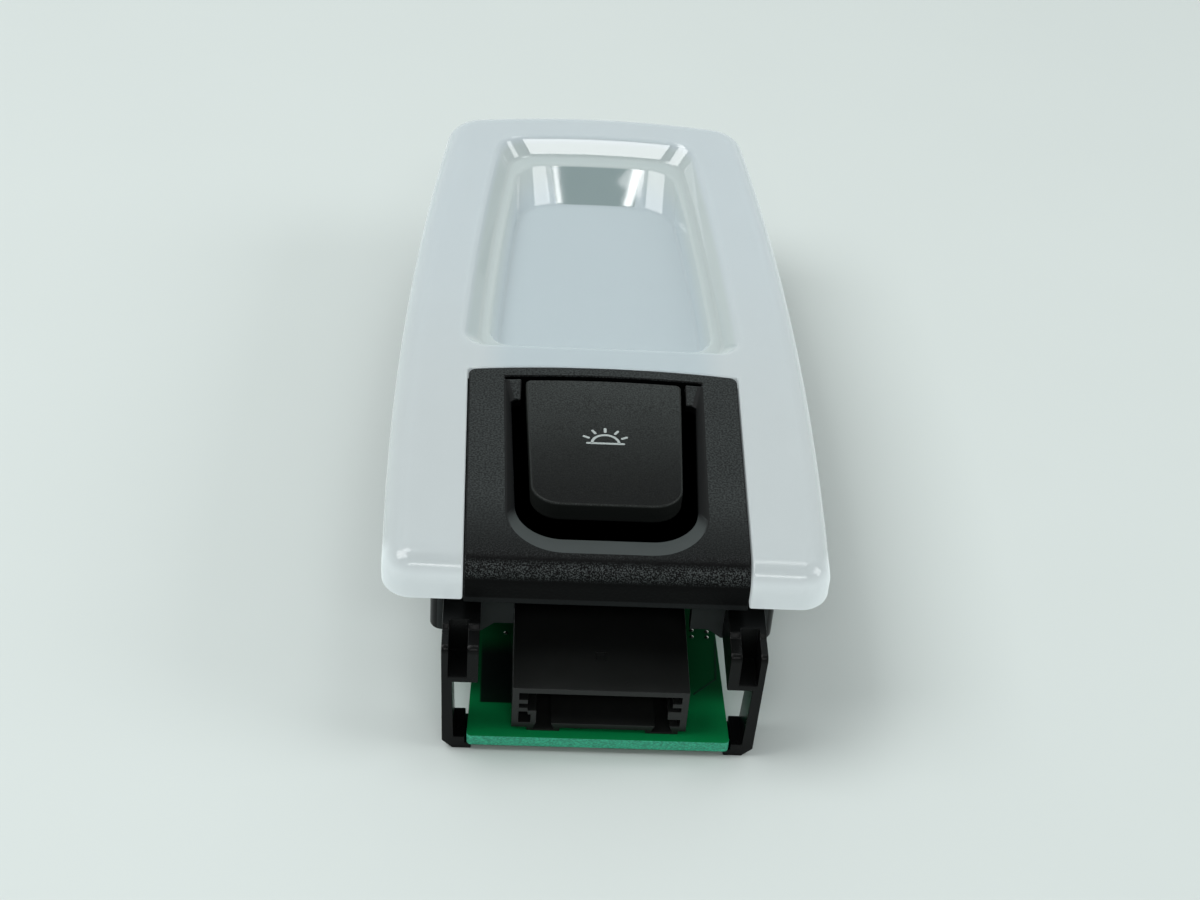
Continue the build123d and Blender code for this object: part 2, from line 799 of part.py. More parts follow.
def make_leds():
    """White lamp packages with a window on top."""
    package = slab(span(led_width), span(led_length), (board_top, board_top + led_height))
    return made_at(led_spots(), package - led_window())


def make_led_windows():
    """Yellow phosphor windows of the lamps."""
    return made_at(led_spots(), led_window())


def make_socket():
    """Wire socket: open box with key ribs, dovetail grooves and a solid back for the pins."""
    shell = slab(span(2 * socket_half_width), (socket_mouth, socket_back), (socket_bottom, socket_top))
    inner_half = socket_half_width - socket_wall
    floor = socket_bottom + socket_wall
    roof = socket_top - socket_wall
    cavity_back = socket_back - socket_back_wall
    foot_half = groove_half_bottom + groove_wall
    for x in groove_places:
        shell = shell + slab(span(2 * foot_half, x), (socket_mouth, cavity_back), (board_top, socket_bottom))
    shell = shell - slab(span(2 * inner_half), (socket_mouth, cavity_back), (floor, roof))
    groove_low = board_top + groove_floor
    for x in groove_places:
        groove = ((x - groove_half_bottom, groove_low), (x + groove_half_bottom, groove_low),
                  (x + groove_half_top, floor), (x - groove_half_top, floor))
        shell = shell - front_cut(groove, socket_mouth, cavity_back)
    key_back = socket_mouth + key_depth
    key_high = socket_bottom + key_high_rise
    key_low = socket_bottom + key_low_rise
    for height in (key_high, key_low):
        shell = shell + slab((-inner_half, key_reach - inner_half), (socket_mouth, key_back),
                             (height - key_thickness, height))
    step_right = step_key_reach - inner_half
    step_left = key_reach - inner_half
    step_top = socket_bottom + step_key_rise
    step_low = step_top - key_thickness
    step_wall = step_right - key_thickness
    step_outline = ((step_right, floor), (step_right, step_top), (step_left, step_top),
                    (step_left, step_low), (step_wall, step_low), (step_wall, floor))
    shell = shell + front_cut(step_outline, socket_mouth, key_back)
    shell = shell + slab((inner_half - block_key_reach, inner_half), (socket_mouth, key_back),
                         (key_low - block_key_height, key_low))
    shell = shell + slab((inner_half - key_reach, inner_half), (socket_mouth, key_back),
                         (key_high - key_thickness, key_high))
    dimple_y = socket_mouth + dimple_from_mouth
    dimple_range = (socket_top - dimple_depth, socket_top)
    shell = shell - slab(span(dimple_size), span(dimple_size, dimple_y), dimple_range)
    hole = pin_side + 2 * pin_fit
    for x in pin_places():
        shell = shell - slab(span(hole, x), (cavity_back, socket_back), span(hole, pin_height))
    return shell


def make_pins():
    """Square pins that leave the socket's back and bend down through the board."""
    half = pin_side / 2
    tip = socket_mouth + pin_tip_depth
    low, high = span(pin_side, pin_height)
    inner, outer = span(pin_side, pin_tail_y)
    outline = ((tip, low), (inner, low), (inner, tail_bottom),
               (outer, tail_bottom), (outer, high), (tip, high))
    pin = side_cut(outline, half)
    bend = pin.edges().filter_by(Axis.X).sort_by(Axis.Y)[-2:].sort_by(Axis.Z)[-1]
    pin = fillet(bend, half)
    return made_at([(x, 0) for x in pin_places()], pin)


def make_switch_base():
    """Moulded cup of the push switch."""
    top = board_top + switch_base_height
    cup = slab(span(switch_side), span(switch_side, switch_y), (board_top, top))
    bore = Cylinder(switch_bore, switch_base_height - switch_floor, align=standing)
    return cup - Pos(0, switch_y, board_top + switch_floor) * bore


def make_switch_dome():
    """Sprung dome with a flat top that returns the plunger."""
    outer = Cone(dome_radius, dome_top_radius, dome_height, align=standing)
    inner_top = dome_top_radius - dome_wall
    inner = Cone(dome_radius - dome_wall, inner_top, dome_height - dome_wall, align=standing)
    return Pos(0, switch_y, board_top + switch_floor) * (outer - inner)


def make_switch_plunger():
    """Plunger with a flange that the cover holds in."""
    low = board_top + switch_floor + dome_height + dome_gap
    flange_top = board_top + switch_base_height - plunger_flange_gap
    flange = Pos(0, switch_y, low) * Cylinder(plunger_flange_radius, flange_top - low, align=standing)
    rod = Pos(0, switch_y, low) * Cylinder(plunger_radius, switch_top - low, align=standing)
    return flange + rod


def make_switch_cover():
    """Steel plate on the switch with two tabs bent down its sides."""
    half = switch_side / 2
    low = board_top + switch_base_height
    high = low + switch_cover_thickness
    plate = slab(span(switch_side), span(switch_side, switch_y), (low, high))
    bore = Cylinder(plunger_radius + plunger_bore_gap, switch_cover_thickness)
    plate = plate - Pos(0, switch_y, (low + high) / 2) * bore
    tab = slab((half, half + switch_cover_thickness), span(switch_cover_tab_width, switch_y),
               (high - switch_cover_tab, high))
    return plate + both_sides(tab)


def leg_strip():
    """One leg of the push switch, from the side of its base down through the board."""
    return slab(span(leg_strip_thickness), span(leg_strip_width), (tail_bottom, board_top + leg_strip_top))


def make_switch_terminals():
    """Legs of the push switch."""
    return made_at(switch_leg_places(), leg_strip())


def make_solder():
    """Solder cones round the pins and legs under the board."""
    root = Pos(0, 0, board_bottom) * RegularPolygon(solder_radius, solder_sides)
    tip = Pos(0, 0, board_bottom - solder_height) * RegularPolygon(solder_tip_radius, solder_sides)
    cone = loft([root, tip], ruled=True)
    pin = slab(span(pin_side), span(pin_side), (tail_bottom, board_bottom))
    joints = [Pos(x, pin_tail_y, 0) * (cone - pin) for x in pin_places()]
    joints += [Pos(x, y, 0) * (cone - leg_strip()) for x, y in switch_leg_places()]
    return Compound(joints)


def sign_led_block(gap):
    """The sign's lamp, or the recess for it in the guide's foot."""
    across = span(sign_led_length + 2 * gap)
    along = span(sign_led_width + 2 * gap, sign_y)
    return slab(across, along, (board_top, board_top + sign_led_height + gap))


def make_sign_led():
    """Small lamp under the button's sign."""
    return sign_led_block(0.0)


def make_guide():
    """Clear guide with a foot on the board, two pegs and a column that widens under the sign."""
    foot_top_height = board_top + guide_foot_height
    foot = slab(span(guide_foot_length), span(guide_foot_width, sign_y), (board_top, foot_top_height))
    low = Pos(0, sign_y, foot_top_height) * Rectangle(guide_low_length, guide_low_width)
    guide_top = lens_top - button_far_drop - button_wall - guide_top_gap
    high = Pos(0, sign_y, guide_top) * Rectangle(guide_top_length, guide_top_width)
    column = loft([low, high], ruled=True)
    peg = Pos(peg_spacing / 2, sign_y, (board_bottom + board_top) / 2) * Cylinder(peg_radius, board_thickness)
    return foot + column + both_sides(peg) - sign_led_block(guide_recess_gap)


def make_chip():
    """Body of the lamp's controller."""
    low = board_top + chip_standoff
    middle = lens_front + chip_from_front
    return slab(span(chip_width, chip_x), span(chip_length, middle), (low, low + chip_height))


def make_chip_leads():
    """Bent legs along both sides of the controller."""
    side = chip_width / 2
    shoulder = board_top + chip_standoff + chip_height / 2
    knee = side + lead_reach - lead_foot
    outline = ((side, shoulder), (knee, shoulder), (knee, board_top + lead_thickness),
               (side + lead_reach, board_top + lead_thickness), (side + lead_reach, board_top),
               (knee - lead_thickness, board_top), (knee - lead_thickness, shoulder - lead_thickness),
               (side, shoulder - lead_thickness))
    right = front_cut(outline, *span(lead_width))
    left = mirror(right, about=Plane.YZ)
    first = lens_front + chip_from_front - (lead_count - 1) * lead_pitch / 2
    places = [first + index * lead_pitch for index in range(lead_count)]
    return Compound([Pos(chip_x, y, 0) * lead for y in places for lead in (left, right)])


def diode_leads():
    """Both bent strips of the diode, which wrap under its ends."""
    end = diode_length / 2
    top = board_top + diode_lead_height
    under = end - diode_lead_width
    thick = diode_lead_thickness
    outline = ((end, top), (end + thick, top), (end + thick, board_top), (under, board_top),
               (under, board_top + thick), (end, board_top + thick))
    strip = Pos(diode_x, lens_front + diode_from_front, 0) * side_cut(outline, diode_lead_width / 2)
    other = mirror(strip, about=Plane.XZ.offset(-lens_front - diode_from_front))
    return strip, other


def make_diode():
    """Body of the protection diode."""
    low = board_top + diode_lead_thickness
    middle = lens_front + diode_from_front
    return slab(span(diode_width, diode_x), span(diode_length, middle), (low, board_top + diode_height))


def make_diode_leads():
    """Tinned strips of the diode."""
    return Compound(list(diode_leads()))


def on_board(spots):
    """Places of small parts, from spots measured from the lens's front."""
    return [(x, lens_front + y) for x, y in spots]


def small_block(length, width, height):
    """Block of a small part, centred on the board's top."""
    return slab(span(length), span(width), (board_top, board_top + height))


def small_bodies(spots, length, width, height, cap):
    """Bodies of like small parts, between their end caps."""
    return made_at(on_board(spots), small_block(length - 2 * cap, width, height))


def small_caps(spots, length, width, height, cap):
    """Tinned ends of like small parts."""
    shift = (length - cap) / 2
    both_ends = [(x + side, y) for x, y in on_board(spots) for side in (-shift, shift)]
    return made_at(both_ends, small_block(cap, width, height))


def make_end_caps():
    """Tinned ends of the capacitors and resistors."""
    capacitor_caps = small_caps(capacitor_spots, *capacitor_size)
    resistor_caps = small_caps(resistor_spots, *resistor_size)
    return Compound(capacitor_caps.solids() + resistor_caps.solids())


pieces = {
    "lens": make_lens(),
    "switch_bezel": make_bezel(),
    "push_button": make_button(),
    "housing": make_housing(),
    "reflector": make_reflector(),
    "circuit_board": make_board(),
    "connector_shell": make_socket(),
    "connector_pins": make_pins(),
    "switch_base": make_switch_base(),
    "switch_dome": make_switch_dome(),
    "switch_plunger": make_switch_plunger(),
    "switch_cover": make_switch_cover(),
    "switch_terminals": make_switch_terminals(),
    "solder_joints": make_solder(),
    "symbol_light_guide": make_guide(),
    "symbol_led": make_sign_led(),
    "lamp_leds": make_leds(),
    "lamp_led_phosphors": make_led_windows(),
    "driver_chip": make_chip(),
    "driver_chip_leads": make_chip_leads(),
    "diode": make_diode(),
    "diode_leads": make_diode_leads(),
    "capacitors": small_bodies(capacitor_spots, *capacitor_size),
    "resistors": small_bodies(resistor_spots, *resistor_size),
    "chip_end_caps": make_end_caps(),
}

os.makedirs("parts", exist_ok=True)
for name, piece in pieces.items():
    export_step(piece, f"parts/{name}.step")
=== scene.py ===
"""Looks of a car's interior lamp: softened casings, a half-sun sign, board detail and a plain stage."""
import math

import bpy
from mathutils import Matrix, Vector


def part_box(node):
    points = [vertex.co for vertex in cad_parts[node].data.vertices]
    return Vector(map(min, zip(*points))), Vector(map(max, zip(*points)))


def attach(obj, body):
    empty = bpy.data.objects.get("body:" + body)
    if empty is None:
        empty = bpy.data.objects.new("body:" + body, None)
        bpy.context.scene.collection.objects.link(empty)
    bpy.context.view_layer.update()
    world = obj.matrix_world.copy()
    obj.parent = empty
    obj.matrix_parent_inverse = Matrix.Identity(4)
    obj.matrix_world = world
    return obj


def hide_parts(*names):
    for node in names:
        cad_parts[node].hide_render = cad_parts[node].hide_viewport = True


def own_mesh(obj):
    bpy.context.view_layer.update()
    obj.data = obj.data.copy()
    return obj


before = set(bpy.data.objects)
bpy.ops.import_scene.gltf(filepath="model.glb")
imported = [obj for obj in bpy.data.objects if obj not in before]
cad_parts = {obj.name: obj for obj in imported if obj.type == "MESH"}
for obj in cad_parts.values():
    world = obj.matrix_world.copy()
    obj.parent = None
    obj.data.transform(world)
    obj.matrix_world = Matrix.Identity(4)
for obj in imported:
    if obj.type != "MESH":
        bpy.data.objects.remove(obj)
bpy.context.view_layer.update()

bl_info = {
    "name": "Interior lamp",
    "version": (1, 0, 0),
    "blender": (4, 5, 0),
    "location": "View3D > Sidebar > Interior lamp",
    "description": "Dresses the packed interior lamp with softened casings, finishes and a plain stage",
    "category": "Object",
}

MM = 0.001

# Corners that are nearer than this are merged
WELD = 2e-6

# Faces that lie within this angle of each other count as one flat face
FLAT_ANGLE = math.radians(0.3)

# Edges that are sharper than this are rounded, and on the lens flatter ones too
EDGE_ANGLE = math.radians(25.0)
LENS_EDGE_ANGLE = math.radians(18.0)

# Degrees up to which neighbouring faces are shaded as one curve
CREASE = 30.0
BEZEL_CREASE = 12.0
DOT_CREASE = 60.0

# Distance past the bezel's far edge from which the lens's edges belong to the dish
PAST_BEZEL = 1.5 * MM

# How much wider each side of the dish's ramp gets per length along the lens
RAMP_FLARE = 0.17

# Painted glow that the milky lens gives off itself, standing in for light shining through it: its strength,
# and its factors on the skirt's sides and front
LENS_GLOW = 0.5
SIDE_GLOW = 1.4
FRONT_GLOW = 2.15

# Height of the painted highlight, a paler strip along the bezel's front lip
LIP_GLINT = 0.8 * MM

# Directions of the half sun's rays, in degrees from its base line
SIGN_RAYS = (27.0, 58.0, 90.0, 122.0, 153.0)

# Places of the solder dots and the bends of the dark track, in millimetres across and along the board
SOLDER_DOTS = ((12.62, -36.13), (14.59, -36.32), (12.56, -37.34), (14.54, -37.35), (-11.79, -37.69))
TRACK_BENDS = ((15.64, -37.76), (15.29, -44.86), (12.37, -47.63))

# Soft lamps: degrees clockwise from straight behind the object, degrees up and metres away, size, setting
SOFT_LAMPS = (
    ("key_lamp", (-90.0, 56.0, 0.9), (0.5, 0.5), "key_glow"),
    ("fill_lamp", (95.0, 34.0, 0.9), (0.4, 0.4), "fill_glow"),
    ("front_lamp", (177.0, 46.5, 0.9), (0.55, 0.12), "front_glow"),
    ("back_right_lamp", (42.0, 70.0, 0.8), (0.2, 0.2), "back_glow"),
    ("back_left_lamp", (-42.0, 68.0, 0.8), (0.24, 0.24), "back_glow"),
)

# Narrow lamps overhead: place, size and turn in degrees
BAR_LAMPS = (
    ("left_bar", (8.6 * MM, 139.2 * MM, 0.5), (1.2 * MM, 24 * MM), 8.8),
    ("right_bar", (35.2 * MM, 139.7 * MM, 0.5), (2.2 * MM, 24 * MM), -11.7),
)

# The table's side, the reach over which its far part turns pale, and that part's strength
TABLE_SIDE = 6.0
TABLE_FADE = (0.4, 1.2)
TABLE_GLOW = 0.7

# Tint of the room's light, and the rise, from 0 level to 1 overhead, over which its pale part ends
ROOM_TINT = (0.94, 1.0, 0.985, 1.0)
ROOM_FADE = (0.15, 0.3)

# The camera's sensor in millimetres, and the nearest that it sees in metres
SENSOR_WIDTH = 36.0
NEAREST = 0.01

# Sockets of a colour Mix node, which share their names
MIX_FACTOR = 0
MIX_FIRST = 6
MIX_SECOND = 7
MIX_RESULT = 2

# Rays that see the pale room and table, unlike those that light the object
SEEN_RAYS = ("Is Camera Ray", "Is Glossy Ray", "Is Transmission Ray")


# Settings that a user would change

def colour(name, description, value):
    """A linear colour setting."""
    return bpy.props.FloatVectorProperty(
        name=name, description=description, default=value, subtype="COLOR", size=3, min=0.0, max=1.0)


def length(name, description, millimetres):
    """A length setting, given in millimetres and kept in metres."""
    return bpy.props.FloatProperty(
        name=name, description=description, default=millimetres * MM, unit="LENGTH", min=0.0)


def brightness(name, description, value):
    """A setting for a lamp's radiance or the room's strength."""
    return bpy.props.FloatProperty(name=name, description=description, default=value, min=0.0)


class LampColours(bpy.types.PropertyGroup):
    """Colours of the lamp's finishes."""

    lens: colour("Lens", "Milky plastic of the lens on its plate and rim", (0.333, 0.368, 0.375))
    lens_far: colour("Lens far end", "Cooler tone of the lens's far end", (0.336, 0.382, 0.400))
    # Painted shade: the dish's walls and floor are the plate's milky plastic, given darker tones where the
    # recess is shaded
    lens_wall: colour("Dish wall", "Milky plastic of the dish's walls", (0.306, 0.351, 0.350))
    lens_floor: colour("Dish floor", "Milky plastic over the dish's floor", (0.293, 0.345, 0.366))
    # Painted dark reflection on the dish's far ramp, in place of the plastic's own colour
    ramp_dark_reflection: colour(
        "Dish ramp", "Far ramp of the dish, where the dark inside shows through", (0.155, 0.201, 0.204))
    bezel: colour("Bezel", "Grained black plastic of the switch bezel", (0.0015, 0.0017, 0.0018))
    # Painted sheen: the bezel's flat top runs from the near tone to the paler far tone
    bezel_near: colour("Bezel near", "Grain on the near part of the bezel's top", (0.0055, 0.0062, 0.0064))
    bezel_top_sheen: colour("Bezel top", "Rubbed grain on the bezel's far top", (0.0435, 0.0493, 0.0493))
    # Painted sheen on the scoop's slopes that face the far end
    satin: colour("Satin", "Smooth near slope of the bezel's scoop", (0.046, 0.054, 0.054))
    button: colour("Button", "Matt black plastic of the push button", (0.014, 0.016, 0.015))
    # Painted sheen: the button's flat top runs from the near tone to the paler far tone
    button_near: colour("Button near", "Near part of the button's top", (0.0010, 0.0014, 0.0014))
    button_top_sheen: colour("Button top", "Rubbed far part of the button's top", (0.0504, 0.0574, 0.0560))
    sign: colour("Sign", "Print of the half-sun sign", (0.34, 0.38, 0.375))
    housing: colour("Housing", "Black plastic of the housing", (0.0022, 0.0025, 0.0025))
    # Painted light: the housing's front wall, the same black plastic, given a paler tone as if lit
    lit_front_wall: colour("Front wall", "Dull front wall of the housing", (0.024, 0.028, 0.028))
    socket: colour("Socket", "Black plastic of the wire socket", (0.011, 0.012, 0.0115))
    board: colour("Board", "Green solder mask of the circuit board", (0.0006, 0.20, 0.056))
    board_edge: colour("Board edge", "Cut glass fibre at the board's edge", (0.038, 0.40, 0.24))
    trace: colour("Trace", "Dark gap beside the board's copper", (0.0005, 0.022, 0.010))
    # Painted shadow of the lens's front edge on the board, left of the socket
    field: colour("Dark field", "Dark field on the board, left of the socket", (0.0018, 0.0030, 0.0033))
    tin: colour("Tin", "Tinned pins, legs and end caps", (0.72, 0.71, 0.68))
    steel: colour("Steel", "Pressed steel of the push switch", (0.56, 0.57, 0.58))
    reflector: colour("Reflector", "White plastic of the light box's tray", (0.80, 0.81, 0.80))
    chip: colour("Chips", "Black moulding of the chip and the diode", (0.012, 0.012, 0.013))
    switch: colour("Switch", "Black base of the push switch", (0.01, 0.01, 0.01))
    plunger: colour("Plunger", "Grey plunger of the push switch", (0.25, 0.26, 0.27))
    guide: colour("Light guide", "Clear plastic of the sign's light guide", (0.86, 0.90, 0.90))
    sign_led: colour("Sign lamp", "Small lamp under the sign", (0.75, 0.70, 0.50))
    led: colour("Lamps", "White cases of the lamps on the board", (0.80, 0.80, 0.78))
    phosphor: colour("Phosphor", "Yellow windows of the lamps on the board", (0.80, 0.58, 0.08))
    capacitor: colour("Capacitors", "Tan ceramic of the capacitors", (0.42, 0.29, 0.16))
    resistor: colour("Resistors", "Black film of the resistors", (0.01, 0.01, 0.011))
    floor: colour("Table", "Pale table under the lamp", (0.605, 0.658, 0.645))


class LampSizes(bpy.types.PropertyGroup):
    """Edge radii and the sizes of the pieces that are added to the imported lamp."""

    lens_edge: length("Lens edges", "Rounding of the lens's outer and notch edges", 0.3)
    dish_rim_edge: length("Dish rim", "Rounding of the dish's rim", 0.5)
    dish_step_edge: length("Dish steps", "Rounding of the edges at the dish's ledge and floor", 0.4)
    dish_ledge: length("Ledge depth", "Depth of the dish's ledge under the lens's plate", 2.5)
    dish_floor: length("Floor depth", "Depth of the dish's floor under the lens's plate", 5.5)
    dish_ramp: length("Ramp place", "Distance from the lens's far edge to the foot of the ramp", 18.7)
    dish_ramp_half: length("Ramp half width", "Half the width of the ramp's flat part at its foot", 5.9)
    bezel_edge: length("Bezel edges", "Rounding of the bezel's edges", 0.16)
    button_edge: length("Button edges", "Rounding of the button's edges", 0.16)
    housing_edge: length("Housing edges", "Rounding of the housing's edges", 0.13)
    socket_edge: length("Socket edges", "Rounding of the wire socket's edges", 0.07)
    board_break: length("Board edges", "Broken edge of the circuit board", 0.06)
    pin_edge: length("Pin edges", "Rounding of the square pins", 0.08)
    dot_radius: length("Solder dots", "Radius of the solder dots on the board", 0.26)
    dot_height: length("Dot height", "Height of the solder dots on the board", 0.16)
    track_width: length("Track width", "Width of the dark track on the board", 0.24)
    track_height: length("Track height", "Thickness of the dark track on the board", 0.03)
    sign_base: length("Sign base", "Length of the half sun's base line", 5.0)
    sign_radius: length("Sign radius", "Radius of the half sun's arc at its middle line", 1.75)
    sign_line: length("Sign line", "Width of the sign's lines", 0.36)
    sign_ray: length("Sign ray", "Length of each ray", 1.0)
    sign_ray_gap: length("Ray gap", "Gap between the arc and its rays", 0.32)
    sign_height: length("Sign height", "Thickness of the print", 0.03)
    sign_place: length("Sign place", "Distance from the button's near edge to the sign's base line", 12.35)


class StageLooks(bpy.types.PropertyGroup):
    """Camera, lamps and table."""

    camera_place: bpy.props.FloatVectorProperty(
        name="Camera place", description="Where the camera stands", subtype="TRANSLATION", unit="LENGTH",
        default=(-14.891 * MM, -237.123 * MM, 199.955 * MM))
    camera_turn: bpy.props.FloatVectorProperty(
        name="Camera turn", description="How the camera is turned", subtype="EULER", unit="ROTATION",
        default=(math.radians(50.25), math.radians(-3.496), math.radians(-0.962)))
    camera_lens: bpy.props.FloatProperty(
        name="Camera lens", description="Focal length on a sensor 36 mm wide", default=64.16, unit="CAMERA")
    sky_back: brightness("Sky behind", "Strength of the room's light behind the lamp", 0.6)
    sky_side: brightness("Sky beside", "Strength of the room's light overhead and beside the lamp", 0.4)
    sky_front: brightness("Sky in front", "Strength of the room's light in front of the lamp", 0.2)
    backdrop: brightness("Backdrop", "Brightness of the room low behind the table, as it is seen", 0.72)
    key_glow: brightness("Key lamp", "Radiance of the broad lamp overhead on the left", 5.2)
    fill_glow: brightness("Fill lamp", "Radiance of the low lamp on the right", 4.0)
    front_glow: brightness("Front lamp", "Radiance of the lamp behind the camera", 6.0)
    back_glow: brightness("Back lamps", "Radiance of the two high lamps behind the lamp", 3.5)
    bar_glow: brightness("Bar lamps", "Radiance of the two narrow lamps overhead", 14.0)


# Materials

class Value:
    """One output socket of a finish. Arithmetic on it adds Math nodes."""

    def __init__(self, finish, socket):
        self.finish = finish
        self.socket = socket

    def maths(self, operation, first, second):
        """A Math node on two values."""
        return self.finish.node("ShaderNodeMath", {"operation": operation}, {0: first, 1: second})

    def __add__(self, other):
        return self.maths("ADD", self, other)

    def __radd__(self, other):
        return self.maths("ADD", other, self)

    def __sub__(self, other):
        return self.maths("SUBTRACT", self, other)

    def __rsub__(self, other):
        return self.maths("SUBTRACT", other, self)

    def __mul__(self, other):
        return self.maths("MULTIPLY", self, other)

    def __rmul__(self, other):
        return self.maths("MULTIPLY", other, self)


class Finish:
    """A material's or a world's node tree, with one method that adds any node."""

    def __init__(self, owner):
        owner.use_nodes = True
        self.tree = owner.node_tree
        self.tree.nodes.clear()

    def node(self, kind, settings=None, sockets=None, output=0):
        """Adds a node, applies its settings, then sets or links its sockets, and returns one output."""
        added = self.tree.nodes.new(kind)
        for name, value in (settings or {}).items():
            setattr(added, name, value)
        for key, value in (sockets or {}).items():
            socket = added.inputs[key]
            if isinstance(value, Value):
                self.tree.links.new(value.socket, socket)
            else:
                socket.default_value = value
        return Value(self, added.outputs[output]) if added.outputs else None

    def place(self):
        """Object coordinates, in metres."""
        return self.node("ShaderNodeTexCoord", output="Object")

    def split(self, vector):
        """The three parts of a vector."""
        first = self.node("ShaderNodeSeparateXYZ", {}, {0: vector})
        return [Value(self, output) for output in first.socket.node.outputs]

    def upward(self, low, high):
        """0 on faces whose normal's height is below low, 1 above high."""
        normal = self.node("ShaderNodeTexCoord", output="Normal")
        return self.soft_step(self.split(normal)[2], low, high)

    def noise(self, size, detail=2.0, roughness=0.5, stretch=(1.0, 1.0, 1.0)):
        """Soft noise whose patches are about one size across, in metres."""
        place = self.node("ShaderNodeVectorMath", {"operation": "MULTIPLY"}, {0: self.place(), 1: stretch})
        return self.node("ShaderNodeTexNoise", {}, {
            "Vector": place, "Scale": 1.0 / size, "Detail": detail, "Roughness": roughness})

    def cells(self, size, feature="F1"):
        """Distance to the nearest of scattered points that lie about one size apart."""
        return self.node("ShaderNodeTexVoronoi", {"feature": feature}, {
            "Vector": self.place(), "Scale": 1.0 / size})

    def soft_step(self, value, low, high):
        """0 below low, 1 above high and a smooth rise between."""
        return self.node("ShaderNodeMapRange", {"interpolation_type": "SMOOTHSTEP"}, {
            "Value": value, "From Min": low, "From Max": high})

    def soft_drop(self, value, low, high):
        """1 below low, 0 above high and a smooth fall between."""
        return 1 - self.soft_step(value, low, high)

    def mix(self, factor, first, second):
        """A colour between two colours."""
        return self.node("ShaderNodeMix", {"data_type": "RGBA"}, {
            MIX_FACTOR: factor, MIX_FIRST: rgba(first), MIX_SECOND: rgba(second)}, MIX_RESULT)

    def bump(self, height, depth, strength=1.0):
        """A normal from a height between 0 and 1 and its depth in metres."""
        return self.node("ShaderNodeBump", {}, {"Height": height, "Distance": depth, "Strength": strength})

    def seen(self):
        """1 for rays from the camera, a gloss or clear plastic, 0 for the rays that light the object."""
        straight, gloss, clear = (self.node("ShaderNodeLightPath", output=ray) for ray in SEEN_RAYS)
        return straight.maths("MAXIMUM", straight.maths("MAXIMUM", straight, gloss), clear)

    def surface(self, **sockets):
        """Ends the tree in a Principled shader. Underscores stand for spaces in the sockets' names."""
        named = {key.replace("_", " "): value for key, value in sockets.items()}
        for key in ("Base Color", "Emission Color"):
            if key in named:
                named[key] = rgba(named[key])
        shader = self.node("ShaderNodeBsdfPrincipled", {}, named)
        self.node("ShaderNodeOutputMaterial", {}, {"Surface": shader})


def rgba(value):
    """A colour with its alpha, or a socket as it is."""
    return value if isinstance(value, Value) else (*value, 1.0)


def paler(value, factor):
    """A colour made lighter or darker by one factor."""
    return tuple(min(1.0, part * factor) for part in value)


def material(name):
    """A new material and its empty finish."""
    made = bpy.data.materials.new(name)
    return made, Finish(made)


def lens_finish():
    """Glossy milky plastic, cooler and darker over the dish as painted shade, with a painted dark
    reflection on its far ramp and a painted glow of its own.
    """
    tones = bpy.context.scene.lamp_colours
    sizes = bpy.context.scene.lamp_sizes
    made, finish = material("milky_lens")
    low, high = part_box("lens")
    floor = high.z - sizes.dish_floor
    ledge = high.z - sizes.dish_ledge
    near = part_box("switch_bezel")[1].y + PAST_BEZEL
    across, along, height = finish.split(finish.place())
    aside = finish.node("ShaderNodeMath", {"operation": "ABSOLUTE"}, {0: across})
    depth = high.z - height

    # The plate, cooler at its far end and faintly clouded
    base = finish.mix(finish.soft_step(along, -30 * MM, 30 * MM), tones.lens, tones.lens_far)
    base = finish.mix(0.06 * finish.noise(9 * MM, 3.0), base, paler(tones.lens, 0.7))

    # The dish's walls and its floor, in darker tones that are painted shade of the recess
    dish = (finish.soft_drop(aside, 19 * MM, 20 * MM) * finish.soft_step(along, near, near + MM)
            * finish.soft_drop(along, high.y - 7 * MM, high.y - 6 * MM))
    base = finish.mix(dish * finish.soft_step(depth, 0.3 * MM, 1.2 * MM), base, tones.lens_wall)
    sunk = finish.soft_drop(height, floor + 0.3 * MM, ledge - 0.3 * MM)
    base = finish.mix(dish * sunk, base, tones.lens_floor)

    # Painted shade on the strip between the bezel and the dish, in the floor's darker tone
    bridge = (finish.soft_drop(aside, 12 * MM, 17 * MM)
              * finish.soft_drop(along, near + 4 * MM, near + 9 * MM) * finish.upward(0.3, 0.5))
    base = finish.mix(bridge, base, tones.lens_floor)

    # The painted dark reflection on the ramp at the dish's far end
    beyond = along - (high.y - sizes.dish_ramp)
    overhang = aside - (sizes.dish_ramp_half + RAMP_FLARE * beyond)
    ramp = (finish.soft_step(beyond, 0.0, 0.2 * MM) * finish.soft_drop(overhang, -0.15 * MM, 0.15 * MM)
            * finish.soft_step(height, floor + 0.05 * MM, floor + 0.15 * MM)
            * finish.soft_drop(height, ledge - 0.25 * MM, ledge - 0.1 * MM))
    base = finish.mix(ramp, base, tones.ramp_dark_reflection)

    # Tiny specks of dust
    specks = finish.soft_step(finish.cells(3.1 * MM), 0.035, 0.02)
    base = finish.mix(specks * 0.2, base, paler(tones.lens, 0.6))

    # Painted glow: the lens gives off light of its own in place of light through the plastic, stronger in
    # the skirt and most at its front, where the gloss is softer
    front = finish.soft_drop(along, low.y + 3 * MM, low.y + 9 * MM)
    skirt = finish.soft_step(depth + 1.8 * MM * front, 2.0 * MM, 4.0 * MM) * (1 - dish)
    edge = finish.mix(front, paler(tones.lens, SIDE_GLOW), paler(tones.lens, FRONT_GLOW))
    rough = 0.01 + 0.025 * finish.noise(4 * MM, 2.0) + 0.13 * front
    finish.surface(Base_Color=base, Roughness=rough, IOR=1.5, Subsurface_Weight=0.5,
                   Subsurface_Radius=(1.0, 1.0, 1.0), Subsurface_Scale=3.0 * MM,
                   Coat_Weight=0.6 * (1 - front), Coat_Roughness=0.03,
                   Emission_Color=finish.mix(skirt, base, edge), Emission_Strength=LENS_GLOW,
                   Normal=finish.bump(finish.noise(14 * MM, 1.0), 0.006 * MM, 0.5))
    return made


